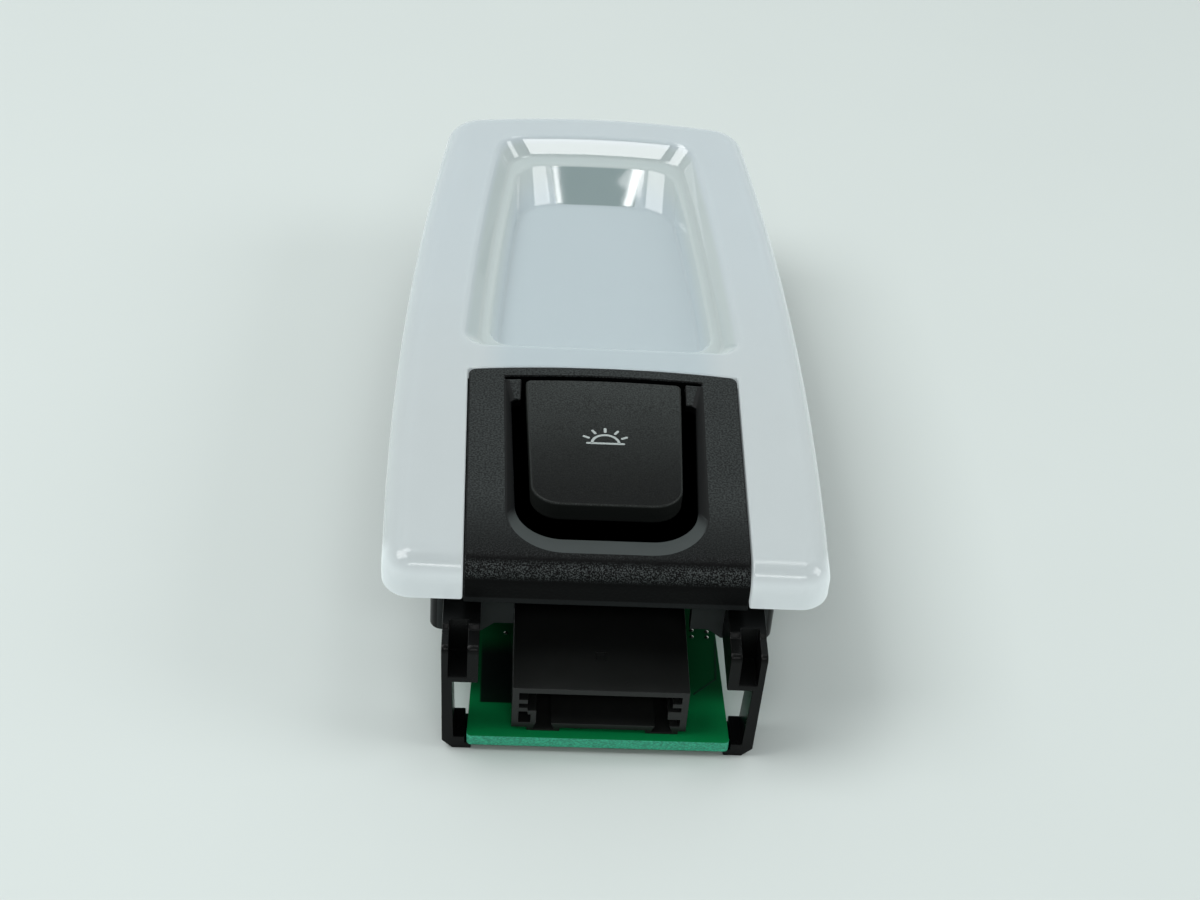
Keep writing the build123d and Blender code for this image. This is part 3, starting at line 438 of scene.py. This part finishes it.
def grained_plastic(name, side, near, far, grain, depth, reach, grain_glints, specular, lip_glint_height=0.0):
    """Black plastic with a moulded grain.

    Its flat top carries a painted sheen from near to far, its rounded edges carry painted glints,
    and its upright faces carry a painted highlight below a given height.
    """
    made, finish = material(name)
    pebbles = finish.cells(grain, "SMOOTH_F1")
    fine = finish.noise(grain * 0.6, 2.0)
    along, height = finish.split(finish.place())[1:]
    patches = finish.noise(7 * MM, 3.0)
    # Painted sheen: the flat top runs from the near tone to the paler far tone
    top_sheen = finish.soft_step(along, *reach)
    top = finish.mix(top_sheen, near, far)
    top = finish.mix(0.3 * patches + 0.6 * finish.soft_step(fine, 0.35, 0.65), top, paler(near, 0.7))
    flat = finish.upward(0.9, 0.985)
    # Painted highlight: upright faces paler below the lip's glint height
    base = finish.mix(finish.soft_drop(height, lip_glint_height, lip_glint_height + 0.2 * MM), side, paler(near, 2.2))
    base = finish.mix(flat, base, top)
    # Painted glints: pale specks on the rounded edges and, fainter, on the flat top short of the sheen
    rounded = finish.upward(0.25, 0.5) * (1 - finish.upward(0.75, 0.93))
    specks = finish.soft_step(finish.noise(grain * 0.4, 1.0), 0.44, 0.66)
    base = finish.mix(specks * grain_glints * (0.75 * rounded + 0.2 * flat * (1 - top_sheen)), base, paler(far, 1.9))
    finish.surface(Base_Color=base, Roughness=0.36 + 0.12 * fine, Specular_IOR_Level=specular,
                   Normal=finish.bump(0.7 * pebbles + 0.5 * fine, depth))
    return made


def satin_plastic_with_sheen(name, dark, pale):
    """Smooth black plastic with a painted sheen on the slopes that face away from the near end."""
    made, finish = material(name)
    normal = finish.node("ShaderNodeTexCoord", output="Normal")
    # Painted sheen on the slopes that face the far end
    back_sheen = finish.soft_step(finish.split(normal)[1], 0.02, 0.2)
    mottle = finish.noise(1.5 * MM, 3.0)
    base = finish.mix(mottle, paler(pale, 0.9), paler(pale, 1.1))
    finish.surface(Base_Color=finish.mix(back_sheen, dark, base), Roughness=0.42 + 0.1 * mottle,
                   Specular_IOR_Level=0.15)
    return made


def smooth_plastic(name, tone, rough, specular=0.2):
    """Moulded black plastic with a faint mottle and a few fine scuffs."""
    made, finish = material(name)
    patches = finish.noise(5 * MM, 3.0)
    scuffs = finish.noise(0.5 * MM, 2.0, 0.5, (1.0, 0.12, 1.0))
    base = finish.mix(patches, paler(tone, 0.85), paler(tone, 1.25))
    finish.surface(Base_Color=base, Roughness=rough + 0.15 * patches, Specular_IOR_Level=specular,
                   Normal=finish.bump(scuffs, 0.004 * MM))
    return made


def board_finish():
    """Green solder mask with a faint weave, a painted shadow of the lens's front edge by the socket and
    painted shade on the part under the bezel.
    """
    tones = bpy.context.scene.lamp_colours
    made, finish = material("solder_mask")
    low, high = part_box("circuit_board")
    across, along, height = finish.split(finish.place())
    weave = finish.noise(0.35 * MM, 2.0)
    patches = finish.noise(6 * MM, 2.0)
    base = finish.mix(patches, paler(tones.board, 0.85), paler(tones.board, 1.15))
    base = finish.mix(0.25 * weave, base, paler(tones.board, 0.6))
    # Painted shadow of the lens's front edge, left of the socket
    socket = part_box("connector_shell")[0]
    field = (finish.soft_step(across, socket.x - 4.1 * MM, socket.x - 3.8 * MM)
             * finish.soft_drop(across, socket.x, 0.0)
             * finish.soft_step(along, low.y + 5.65 * MM, low.y + 5.85 * MM)
             * finish.soft_drop(along, low.y + 14 * MM, low.y + 18 * MM)
             * finish.soft_step(height, low.z, high.z))
    # Painted shade on the part of the board under the bezel
    under = finish.soft_step(along, low.y + 4.5 * MM, low.y + 10 * MM)
    base = finish.mix(0.85 * under, base, paler(tones.board, 0.12))
    base = finish.mix(field * 0.96, base, tones.field)
    finish.surface(Base_Color=base, Roughness=0.28 + 0.15 * weave, Specular_IOR_Level=0.25,
                   Normal=finish.bump(weave, 0.006 * MM))
    return made


def board_edge_finish():
    """Cut edge of the board: pale glass fibres in green resin."""
    tones = bpy.context.scene.lamp_colours
    made, finish = material("board_edge")
    fibres = finish.noise(0.3 * MM, 3.0, 0.6, (1.0, 1.0, 2.5))
    bright = finish.soft_step(fibres, 0.3, 0.7)
    base = finish.mix(bright, paler(tones.board_edge, 0.6), paler(tones.board_edge, 1.5))
    finish.surface(Base_Color=base, Roughness=0.6 + 0.2 * fibres, Normal=finish.bump(fibres, 0.02 * MM))
    return made


def flat_print(name, tone, rough):
    """A printed or varnished area with a slight mottle."""
    made, finish = material(name)
    mottle = finish.noise(0.3 * MM, 2.0)
    base = finish.mix(mottle, paler(tone, 0.9), paler(tone, 1.1))
    finish.surface(Base_Color=base, Roughness=rough + 0.1 * mottle)
    return made


def metal(name, tone, rough, grain=0.4 * MM):
    """Tinned or bare metal with a fine uneven lustre."""
    made, finish = material(name)
    lustre = finish.noise(grain, 3.0)
    base = finish.mix(lustre, paler(tone, 0.85), paler(tone, 1.1))
    finish.surface(Base_Color=base, Metallic=1.0, Roughness=rough + 0.2 * lustre,
                   Normal=finish.bump(lustre, 0.004 * MM))
    return made


def pale_plastic(name, tone, rough, see_through=0.0):
    """White, tinted or clear plastic or ceramic with a faint mottle."""
    made, finish = material(name)
    mottle = finish.noise(2 * MM, 3.0)
    base = finish.mix(mottle, paler(tone, 0.93), paler(tone, 1.05))
    finish.surface(Base_Color=base, Roughness=rough + 0.1 * mottle, Transmission_Weight=see_through)
    return made


# Modelling helpers

def deselect():
    """Leaves nothing selected, in object mode."""
    active = bpy.context.view_layer.objects.active
    if active and active.mode != "OBJECT":
        bpy.ops.object.mode_set(mode="OBJECT")
    bpy.ops.object.select_all(action="DESELECT")


def make_active(piece):
    """Selects one piece alone."""
    deselect()
    piece.select_set(True)
    bpy.context.view_layer.objects.active = piece


def welded_copy(node, name):
    """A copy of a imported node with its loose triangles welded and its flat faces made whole."""
    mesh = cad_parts[node].data.copy()
    mesh.name = name
    mesh.materials.clear()
    piece = bpy.data.objects.new(name, mesh)
    bpy.context.scene.collection.objects.link(piece)
    make_active(piece)
    bpy.ops.mesh.customdata_custom_splitnormals_clear()
    bpy.ops.object.mode_set(mode="EDIT")
    bpy.ops.mesh.select_all(action="SELECT")
    bpy.ops.mesh.remove_doubles(threshold=WELD)
    bpy.ops.mesh.dissolve_limited(angle_limit=FLAT_ANGLE)
    bpy.ops.object.mode_set(mode="OBJECT")
    return piece


def soften(piece, width, segments=2, limit="ANGLE"):
    """Rounds a piece's sharp edges, or those that carry weights, and merges corners that meet."""
    make_active(piece)
    rounding = piece.modifiers.new("soft_edges", "BEVEL")
    rounding.width = width
    rounding.segments = segments
    rounding.limit_method = limit
    rounding.angle_limit = EDGE_ANGLE
    rounding.use_clamp_overlap = False
    bpy.ops.object.modifier_apply(modifier=rounding.name)
    bpy.ops.object.mode_set(mode="EDIT")
    bpy.ops.mesh.select_all(action="SELECT")
    bpy.ops.mesh.remove_doubles(threshold=WELD)
    bpy.ops.object.mode_set(mode="OBJECT")


def select_edges(piece, angle):
    """Selects a piece's edges that are sharper than an angle."""
    make_active(piece)
    bpy.ops.object.mode_set(mode="EDIT")
    bpy.ops.mesh.select_mode(type="EDGE")
    bpy.ops.mesh.select_all(action="DESELECT")
    bpy.ops.mesh.edges_select_sharp(sharpness=angle)
    bpy.ops.object.mode_set(mode="OBJECT")


def merge_faces(piece, wanted):
    """Makes one face of the faces that a test on normal and centre picks, so that it mirrors evenly."""
    make_active(piece)
    bpy.ops.object.mode_set(mode="EDIT")
    bpy.ops.mesh.select_mode(type="FACE")
    bpy.ops.mesh.select_all(action="DESELECT")
    bpy.ops.object.mode_set(mode="OBJECT")
    for face in piece.data.polygons:
        face.select = wanted(face.normal, face.center)
    bpy.ops.object.mode_set(mode="EDIT")
    bpy.ops.mesh.dissolve_faces()
    bpy.ops.object.mode_set(mode="OBJECT")


def shade(piece, crease=CREASE):
    """Shades a piece smooth, apart from its sharp edges, and cuts its many-sided faces."""
    make_active(piece)
    bpy.ops.object.shade_smooth_by_angle(angle=math.radians(crease))
    weights = piece.modifiers.new("even_shading", "WEIGHTED_NORMAL")
    weights.keep_sharp = True
    bpy.ops.object.modifier_apply(modifier=weights.name)
    cutting = piece.modifiers.new("cut_faces", "TRIANGULATE")
    cutting.min_vertices = 5
    cutting.keep_custom_normals = True
    bpy.ops.object.modifier_apply(modifier=cutting.name)


def paint_faces(piece, index, wanted):
    """Gives one material slot to the faces that a test on normal and centre picks."""
    for face in piece.data.polygons:
        if wanted(face.normal, face.center):
            face.material_index = index


def dress(piece, body, slot, *finishes):
    """Gives a piece its finishes and lets it ride on a body."""
    for finish in finishes:
        piece.data.materials.append(finish)
    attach(piece, body)


def stand_for(node, name, width, slot, *finishes, body="lamp_body", crease=CREASE):
    """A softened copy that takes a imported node's place, shaded smooth up to a crease angle."""
    piece = welded_copy(node, name)
    soften(piece, width)
    shade(piece, crease)
    dress(piece, body, slot, *finishes)
    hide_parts(node)
    return piece


def face_plane(node):
    """Centre and normal of a node's largest face that looks up."""
    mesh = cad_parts[node].data
    faces = [face for face in mesh.polygons if face.normal.z > 0.99]
    largest = max(faces, key=lambda face: face.area)
    return largest.center.copy(), largest.normal.copy()


def join(pieces, name):
    """Joins several pieces into one."""
    deselect()
    for piece in pieces:
        piece.select_set(True)
    bpy.context.view_layer.objects.active = pieces[0]
    bpy.ops.object.join()
    joined = bpy.context.object
    joined.name = name
    joined.data.name = name
    return joined


def settle(piece):
    """Puts a piece's place into its mesh."""
    make_active(piece)
    bpy.ops.object.transform_apply(location=True, rotation=True, scale=True)


def rounded_bar(size, place, turn=0.0):
    """A thin bar with rounded ends, laid along X and turned about Z."""
    deselect()
    bpy.ops.mesh.primitive_cube_add(size=1.0)
    bar = bpy.context.object
    bar.scale = size
    settle(bar)
    bpy.ops.object.mode_set(mode="EDIT")
    bpy.ops.mesh.select_all(action="DESELECT")
    bpy.ops.object.mode_set(mode="OBJECT")
    for edge in bar.data.edges:
        ends = [bar.data.vertices[index].co for index in edge.vertices]
        edge.select = abs(ends[0].z - ends[1].z) > size[2] / 2
    bpy.ops.object.mode_set(mode="EDIT")
    bpy.ops.mesh.bevel(offset=size[1] * 0.49, segments=5, affect="EDGES")
    bpy.ops.object.mode_set(mode="OBJECT")
    bar.rotation_euler.z = turn
    bar.location = place
    settle(bar)
    return bar


def half_ring(radius, line, height):
    """A half ring of square section, spun from one end to the other."""
    deselect()
    bpy.ops.mesh.primitive_plane_add(size=1.0, rotation=(math.pi / 2, 0.0, 0.0))
    ring = bpy.context.object
    ring.scale = (line, height, 1.0)
    ring.location = (radius, 0.0, 0.0)
    settle(ring)
    bpy.ops.object.mode_set(mode="EDIT")
    bpy.ops.mesh.select_all(action="SELECT")
    bpy.ops.mesh.spin(steps=28, angle=math.pi, center=(0.0, 0.0, 0.0), axis=(0.0, 0.0, -1.0))
    bpy.ops.mesh.select_all(action="SELECT")
    bpy.ops.mesh.remove_doubles(threshold=WELD)
    bpy.ops.mesh.normals_make_consistent(inside=False)
    bpy.ops.object.mode_set(mode="OBJECT")
    return ring


def solder_dot(radius, height):
    """A low dot with a raised middle."""
    deselect()
    bpy.ops.mesh.primitive_cylinder_add(vertices=16, radius=radius, depth=height)
    dot = bpy.context.object
    bpy.ops.object.mode_set(mode="EDIT")
    bpy.ops.mesh.select_mode(type="FACE")
    bpy.ops.mesh.select_all(action="DESELECT")
    bpy.ops.object.mode_set(mode="OBJECT")
    for face in dot.data.polygons:
        face.select = face.normal.z > 0.9
    bpy.ops.object.mode_set(mode="EDIT")
    bpy.ops.mesh.inset(thickness=radius * 0.5, depth=height * 0.4)
    bpy.ops.object.mode_set(mode="OBJECT")
    bpy.ops.object.shade_smooth_by_angle(angle=math.radians(DOT_CREASE))
    return dot


def toward(azimuth, elevation, distance):
    """A place by degrees clockwise from straight behind the object, degrees up and metres away."""
    turn, rise = math.radians(azimuth), math.radians(elevation)
    level = math.cos(rise)
    return distance * Vector((math.sin(turn) * level, math.cos(turn) * level, math.sin(rise)))


# Operators

class LAMP_OT_lens(bpy.types.Operator):
    """Makes the milky lens with rounded dish edges"""

    bl_idname = "lamp.make_lens"
    bl_label = "Lens"

    def execute(self, context):
        sizes = context.scene.lamp_sizes
        lens = welded_copy("lens", "milky_lens")
        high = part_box("lens")[1]
        foot = high.y - sizes.dish_ramp

        def on_ramp(normal, centre):
            return centre.y > foot - MM and abs(normal.x) < 0.04 and normal.y < -0.3 and normal.z > 0.8

        def on_far_wall(normal, centre):
            inside = centre.y > foot and centre.z > high.z - sizes.dish_ledge
            return inside and abs(normal.x) < 0.12 and normal.y < -0.6 and 0.4 < normal.z < 0.8

        merge_faces(lens, on_ramp)
        merge_faces(lens, on_far_wall)
        self.weigh_edges(lens, high.z, sizes)
        soften(lens, sizes.dish_rim_edge, segments=4, limit="WEIGHT")
        shade(lens)
        dress(lens, "lamp_body", "lens_milky", lens_finish())
        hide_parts("lens")
        return {"FINISHED"}

    def weigh_edges(self, lens, top, sizes):
        """Gives every sharp edge its share of the widest rounding: the dish's edges by their depth."""
        select_edges(lens, LENS_EDGE_ANGLE)
        past_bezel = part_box("switch_bezel")[1].y + PAST_BEZEL
        steps = ((0.0, sizes.dish_rim_edge), (sizes.dish_ledge, sizes.dish_step_edge),
                 (sizes.dish_floor, sizes.dish_step_edge))
        weights = lens.data.attributes.new("bevel_weight_edge", "FLOAT", "EDGE")
        for edge in lens.data.edges:
            if edge.select:
                ends = [lens.data.vertices[index].co for index in edge.vertices]
                radius = sizes.lens_edge
                for depth, step_radius in steps:
                    if all(abs(top - depth - end.z) < 0.1 * MM and end.y > past_bezel for end in ends):
                        radius = step_radius
                weights.data[edge.index].value = radius / sizes.dish_rim_edge


class LAMP_OT_bezel(bpy.types.Operator):
    """Makes the grained switch bezel with its smooth scoop"""

    bl_idname = "lamp.make_bezel"
    bl_label = "Switch bezel"

    def execute(self, context):
        sizes = context.scene.lamp_sizes
        tones = context.scene.lamp_colours
        low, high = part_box("switch_bezel")
        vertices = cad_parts["switch_bezel"].data.vertices
        # Top of the painted highlight along the front lip
        lip_glint_height = min(vertex.co.z for vertex in vertices if vertex.co.y < low.y + 0.2 * MM) + LIP_GLINT
        # Grain with a painted sheen on the flat top, painted glints on the rounded edges and the lip's
        # painted highlight
        grain = grained_plastic(
            "bezel_grain", tones.bezel, tones.bezel_near, tones.bezel_top_sheen, grain=0.42 * MM, depth=0.06 * MM,
            reach=(low.y + 2 * MM, low.y + 15 * MM), grain_glints=0.9, specular=0.07, lip_glint_height=lip_glint_height)
        satin = satin_plastic_with_sheen("bezel_scoop_sheen", paler(tones.bezel, 3.0), tones.satin)
        bezel = stand_for("switch_bezel", "grained_bezel", sizes.bezel_edge, "bezel_grain", grain, satin,
                          crease=BEZEL_CREASE)
        scoop_low = high.z - 1.3 * MM

        def in_scoop(normal, centre):
            inward = normal.y > 0.02 or abs(normal.x) > 0.1
            framed = abs(centre.x) < high.x - 1.2 * MM and centre.y < high.y - 1.2 * MM
            return scoop_low < centre.z < high.z - 0.01 * MM and normal.z > 0.2 and inward and framed

        # The scoop's slopes take the finish with the painted sheen
        paint_faces(bezel, 1, in_scoop)
        return {"FINISHED"}


class LAMP_OT_button(bpy.types.Operator):
    """Makes the matt push button"""

    bl_idname = "lamp.make_button"
    bl_label = "Push button"

    def execute(self, context):
        sizes = context.scene.lamp_sizes
        tones = context.scene.lamp_colours
        low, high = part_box("push_button")
        # Matt grain with a painted sheen on the top and faint painted glints on its edges
        matt = grained_plastic(
            "button_matt", tones.button, tones.button_near, tones.button_top_sheen, grain=0.3 * MM,
            depth=0.012 * MM, reach=(low.y, high.y + 4 * MM), grain_glints=0.35, specular=0.12)
        stand_for("push_button", "matt_button", sizes.button_edge, "button_black", matt, body="button")
        return {"FINISHED"}


class LAMP_OT_sign(bpy.types.Operator):
    """Prints the half-sun sign on the button"""

    bl_idname = "lamp.make_sign"
    bl_label = "Half-sun sign"

    def execute(self, context):
        sizes = context.scene.lamp_sizes
        tones = context.scene.lamp_colours
        line = sizes.sign_line
        height = sizes.sign_height
        parts = [half_ring(sizes.sign_radius, line, height)]
        parts.append(rounded_bar((sizes.sign_base, line, height), (0.0, 0.0, 0.0)))
        reach = sizes.sign_radius + line / 2 + sizes.sign_ray_gap + sizes.sign_ray / 2
        for degrees in SIGN_RAYS:
            turn = math.radians(degrees)
            place = (reach * math.cos(turn), reach * math.sin(turn), 0.0)
            parts.append(rounded_bar((sizes.sign_ray, line, height), place, turn))
        sign = join(parts, "half_sun_sign")
        centre, normal = face_plane("push_button")
        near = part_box("push_button")[0].y + sizes.sign_place
        rise = centre.z - (near - centre.y) * normal.y / normal.z
        sign.rotation_euler = (math.atan2(-normal.y, normal.z), 0.0, 0.0)
        sign.location = (0.0, near, rise)
        settle(sign)
        dress(sign, "button", "button_black", flat_print("sign_print", tones.sign, 0.5))
        return {"FINISHED"}


class LAMP_OT_housing(bpy.types.Operator):
    """Makes the black housing"""

    bl_idname = "lamp.make_housing"
    bl_label = "Housing"

    def execute(self, context):
        sizes = context.scene.lamp_sizes
        tones = context.scene.lamp_colours
        black = smooth_plastic("housing_black", tones.housing, 0.22, 0.14)
        # The front wall takes a rougher copy of the black plastic, painted paler as painted light
        lit_wall_finish = smooth_plastic("housing_lit_wall", tones.lit_front_wall, 0.5)
        housing = stand_for("housing", "black_housing", sizes.housing_edge, "housing_black", black, lit_wall_finish)
        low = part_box("housing")[0]

        def lit_front_wall(normal, centre):
            behind_arms = low.y + 5.5 * MM < centre.y < low.y + 30 * MM
            return normal.y < -0.9 and behind_arms and centre.z > 10 * MM

        paint_faces(housing, 1, lit_front_wall)
        return {"FINISHED"}


class LAMP_OT_board(bpy.types.Operator):
    """Makes the circuit board"""

    bl_idname = "lamp.make_board"
    bl_label = "Circuit board"

    def execute(self, context):
        sizes = context.scene.lamp_sizes
        board = stand_for("circuit_board", "green_board", sizes.board_break, "board_green",
                          board_finish(), board_edge_finish())
        low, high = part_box("circuit_board")

        def cut_edge(normal, centre):
            outside = abs(centre.x) > 12.5 * MM or centre.y < low.y + MM or centre.y > high.y - MM
            return abs(normal.z) < 0.6 and outside

        paint_faces(board, 1, cut_edge)
        return {"FINISHED"}


class LAMP_OT_tracks(bpy.types.Operator):
    """Adds the solder dots and the dark track beside the wire socket"""

    bl_idname = "lamp.make_tracks"
    bl_label = "Board tracks"

    def execute(self, context):
        sizes = context.scene.lamp_sizes
        tones = context.scene.lamp_colours
        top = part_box("circuit_board")[1].z
        first = solder_dot(sizes.dot_radius, sizes.dot_height)
        dots = []
        for across, along in SOLDER_DOTS:
            dot = first.copy()
            dot.data = first.data.copy()
            context.scene.collection.objects.link(dot)
            dot.location = (across * MM, along * MM, top)
            settle(dot)
            dots.append(dot)
        bpy.data.objects.remove(first)
        dress(join(dots, "board_dots"), "lamp_body", "solder", metal("dot_solder", tones.tin, 0.15))
        bends = [Vector((across * MM, along * MM, top + sizes.track_height / 2))
                 for across, along in TRACK_BENDS]
        tracks = []
        for start, end in zip(bends, bends[1:]):
            run = end - start
            size = (run.length + sizes.track_width, sizes.track_width, sizes.track_height)
            tracks.append(rounded_bar(size, (start + end) / 2, math.atan2(run.y, run.x)))
        dark = flat_print("track_dark", tones.trace, 0.35)
        dress(join(tracks, "board_track"), "lamp_body", "board_green", dark)
        return {"FINISHED"}


class LAMP_OT_socket(bpy.types.Operator):
    """Makes the wire socket and its pins"""

    bl_idname = "lamp.make_socket"
    bl_label = "Wire socket"

    def execute(self, context):
        sizes = context.scene.lamp_sizes
        tones = context.scene.lamp_colours
        black = smooth_plastic("socket_black", tones.socket, 0.24, 0.3)
        stand_for("connector_shell", "socket_shell", sizes.socket_edge, "socket_black", black)
        tin = metal("pin_tin", tones.tin, 0.2)
        stand_for("connector_pins", "socket_pins", sizes.pin_edge, "pin_tin", tin)
        return {"FINISHED"}


class LAMP_OT_dome(bpy.types.Operator):
    """Makes the switch's steel return dome, with a mesh of its own"""

    bl_idname = "lamp.make_dome"
    bl_label = "Return dome"

    def execute(self, context):
        tones = context.scene.lamp_colours
        dome = welded_copy("switch_dome", "steel_dome")
        shade(dome)
        dress(dome, "lamp_body", "dome_steel", metal("dome_steel", tones.steel, 0.2))
        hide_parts("switch_dome")
        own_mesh(dome)
        return {"FINISHED"}


class LAMP_OT_inside(bpy.types.Operator):
    """Finishes the pieces inside the lamp and under its board"""

    bl_idname = "lamp.finish_inside"
    bl_label = "Inside pieces"

    def execute(self, context):
        tones = context.scene.lamp_colours
        tin = metal("lead_tin", tones.tin, 0.25)
        chip = smooth_plastic("chip_black", tones.chip, 0.45)
        finishes = {
            "reflector": pale_plastic("reflector_white", tones.reflector, 0.35),
            "switch_base": smooth_plastic("switch_black", tones.switch, 0.45),
            "switch_plunger": pale_plastic("plunger_grey", tones.plunger, 0.4),
            "switch_cover": metal("cover_steel", tones.steel, 0.28),
            "switch_terminals": tin,
            "solder_joints": metal("solder", paler(tones.tin, 0.95), 0.15, 1.2 * MM),
            "symbol_light_guide": pale_plastic("guide_clear", tones.guide, 0.06, 0.85),
            "symbol_led": pale_plastic("sign_led", tones.sign_led, 0.3),
            "lamp_leds": pale_plastic("led_white", tones.led, 0.35),
            "lamp_led_phosphors": pale_plastic("phosphor_yellow", tones.phosphor, 0.3),
            "driver_chip": chip,
            "driver_chip_leads": tin,
            "diode": chip,
            "diode_leads": tin,
            "capacitors": pale_plastic("capacitor_tan", tones.capacitor, 0.45),
            "resistors": smooth_plastic("resistor_black", tones.resistor, 0.3),
            "chip_end_caps": tin,
        }
        for node, finish in finishes.items():
            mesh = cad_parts[node].data
            mesh.materials.clear()
            mesh.materials.append(finish)
        return {"FINISHED"}


class LAMP_OT_stage(bpy.types.Operator):
    """Sets the table, the lamps and the camera"""

    bl_idname = "lamp.set_stage"
    bl_label = "Stage"

    def execute(self, context):
        scene = context.scene
        looks = scene.stage_looks
        scene.view_settings.view_transform = "Standard"
        self.table(scene.lamp_colours)
        self.sky(scene, looks)
        for name, direction, size, setting in SOFT_LAMPS:
            self.lamp(name, toward(*direction), size, getattr(looks, setting))
        for name, place, size, turn in BAR_LAMPS:
            self.bar(name, place, size, turn, looks.bar_glow)
        self.camera(scene, looks)
        return {"FINISHED"}

    def table(self, tones):
        """A pale table with a faint mottle, which stays pale far from the lamps."""
        deselect()
        bpy.ops.mesh.primitive_plane_add(size=TABLE_SIDE)
        table = bpy.context.object
        table.name = "table"
        made, finish = material("pale_table")
        mottle = finish.noise(40 * MM, 3.0)
        base = finish.mix(mottle, paler(tones.floor, 0.985), paler(tones.floor, 1.015))
        across, along = finish.split(finish.place())[:2]
        reach = finish.node("ShaderNodeMath", {"operation": "SQRT"}, {0: across * across + along * along})
        far = finish.mix(finish.soft_step(reach, *TABLE_FADE) * finish.seen(), (0.0, 0.0, 0.0), tones.floor)
        finish.surface(Base_Color=base, Roughness=0.55, Emission_Color=far, Emission_Strength=TABLE_GLOW)
        table.data.materials.append(made)

    def sky(self, scene, looks):
        """A room that is lighter behind the lamp than in front, and looks pale low behind the table."""
        world = bpy.data.worlds.new("pale_room")
        scene.world = world
        finish = Finish(world)
        direction = finish.node("ShaderNodeTexCoord", output="Generated")
        away, height = finish.split(direction)[1:]
        beside = finish.soft_step(away, -0.5, -0.1)
        behind = finish.soft_step(away, 0.1, 0.6)
        strength = (looks.sky_front + beside * (looks.sky_side - looks.sky_front)
                    + behind * (looks.sky_back - looks.sky_side))
        low = finish.soft_drop(height, *ROOM_FADE)
        strength = strength + low * finish.seen() * (looks.backdrop - strength)
        light = finish.node("ShaderNodeBackground", {}, {"Color": ROOM_TINT, "Strength": strength})
        finish.node("ShaderNodeOutputWorld", {}, {"Surface": light})

    def lamp(self, name, place, size, glow):
        """A soft rectangular lamp of one radiance that looks at the object."""
        data = bpy.data.lights.new(name, "AREA")
        data.shape = "RECTANGLE"
        data.size, data.size_y = size
        data.energy = glow * math.pi * size[0] * size[1]
        lamp = bpy.data.objects.new(name, data)
        bpy.context.scene.collection.objects.link(lamp)
        lamp.location = place
        lamp.rotation_euler = (-Vector(place)).to_track_quat("-Z", "Y").to_euler()
        return lamp

    def bar(self, name, place, size, turn, glow):
        """A narrow lamp that looks straight down, turned about its own axis by so many degrees."""
        lamp = self.lamp(name, place, size, glow)
        lamp.rotation_euler = (0.0, 0.0, math.radians(turn))

    def camera(self, scene, looks):
        """The camera at the photographed angle."""
        data = bpy.data.cameras.new("camera")
        data.lens = looks.camera_lens
        data.sensor_width = SENSOR_WIDTH
        data.clip_start = NEAREST
        camera = bpy.data.objects.new("camera", data)
        scene.collection.objects.link(camera)
        camera.location = looks.camera_place
        camera.rotation_euler = looks.camera_turn
        scene.camera = camera


class LAMP_PT_panel(bpy.types.Panel):
    """Lists the lamp's pieces in the sidebar"""

    bl_idname = "LAMP_PT_panel"
    bl_label = "Interior lamp"
    bl_space_type = "VIEW_3D"
    bl_region_type = "UI"
    bl_category = "Interior lamp"

    def draw(self, context):
        for operator in OPERATORS:
            self.layout.operator(operator.bl_idname)
        for group in GROUPS:
            settings = getattr(context.scene, group)
            box = self.layout.box()
            for name in settings.__annotations__:
                box.prop(settings, name)


OPERATORS = (LAMP_OT_lens, LAMP_OT_bezel, LAMP_OT_button, LAMP_OT_sign, LAMP_OT_housing, LAMP_OT_board,
             LAMP_OT_tracks, LAMP_OT_socket, LAMP_OT_dome, LAMP_OT_inside, LAMP_OT_stage)
GROUPS = {"lamp_colours": LampColours, "lamp_sizes": LampSizes, "stage_looks": StageLooks}


def register():
    """Registers the settings, operators and panel."""
    for name, group in GROUPS.items():
        bpy.utils.register_class(group)
        setattr(bpy.types.Scene, name, bpy.props.PointerProperty(type=group))
    for kind in (*OPERATORS, LAMP_PT_panel):
        bpy.utils.register_class(kind)


def unregister():
    """Takes the settings, operators and panel away again."""
    for kind in (LAMP_PT_panel, *reversed(OPERATORS)):
        bpy.utils.unregister_class(kind)
    for name, group in GROUPS.items():
        delattr(bpy.types.Scene, name)
        bpy.utils.unregister_class(group)


def main():
    """Makes every piece in order."""
    register()
    for operator in OPERATORS:
        family, action = operator.bl_idname.split(".")
        getattr(getattr(bpy.ops, family), action)()


if __name__ == "__main__":
    main()
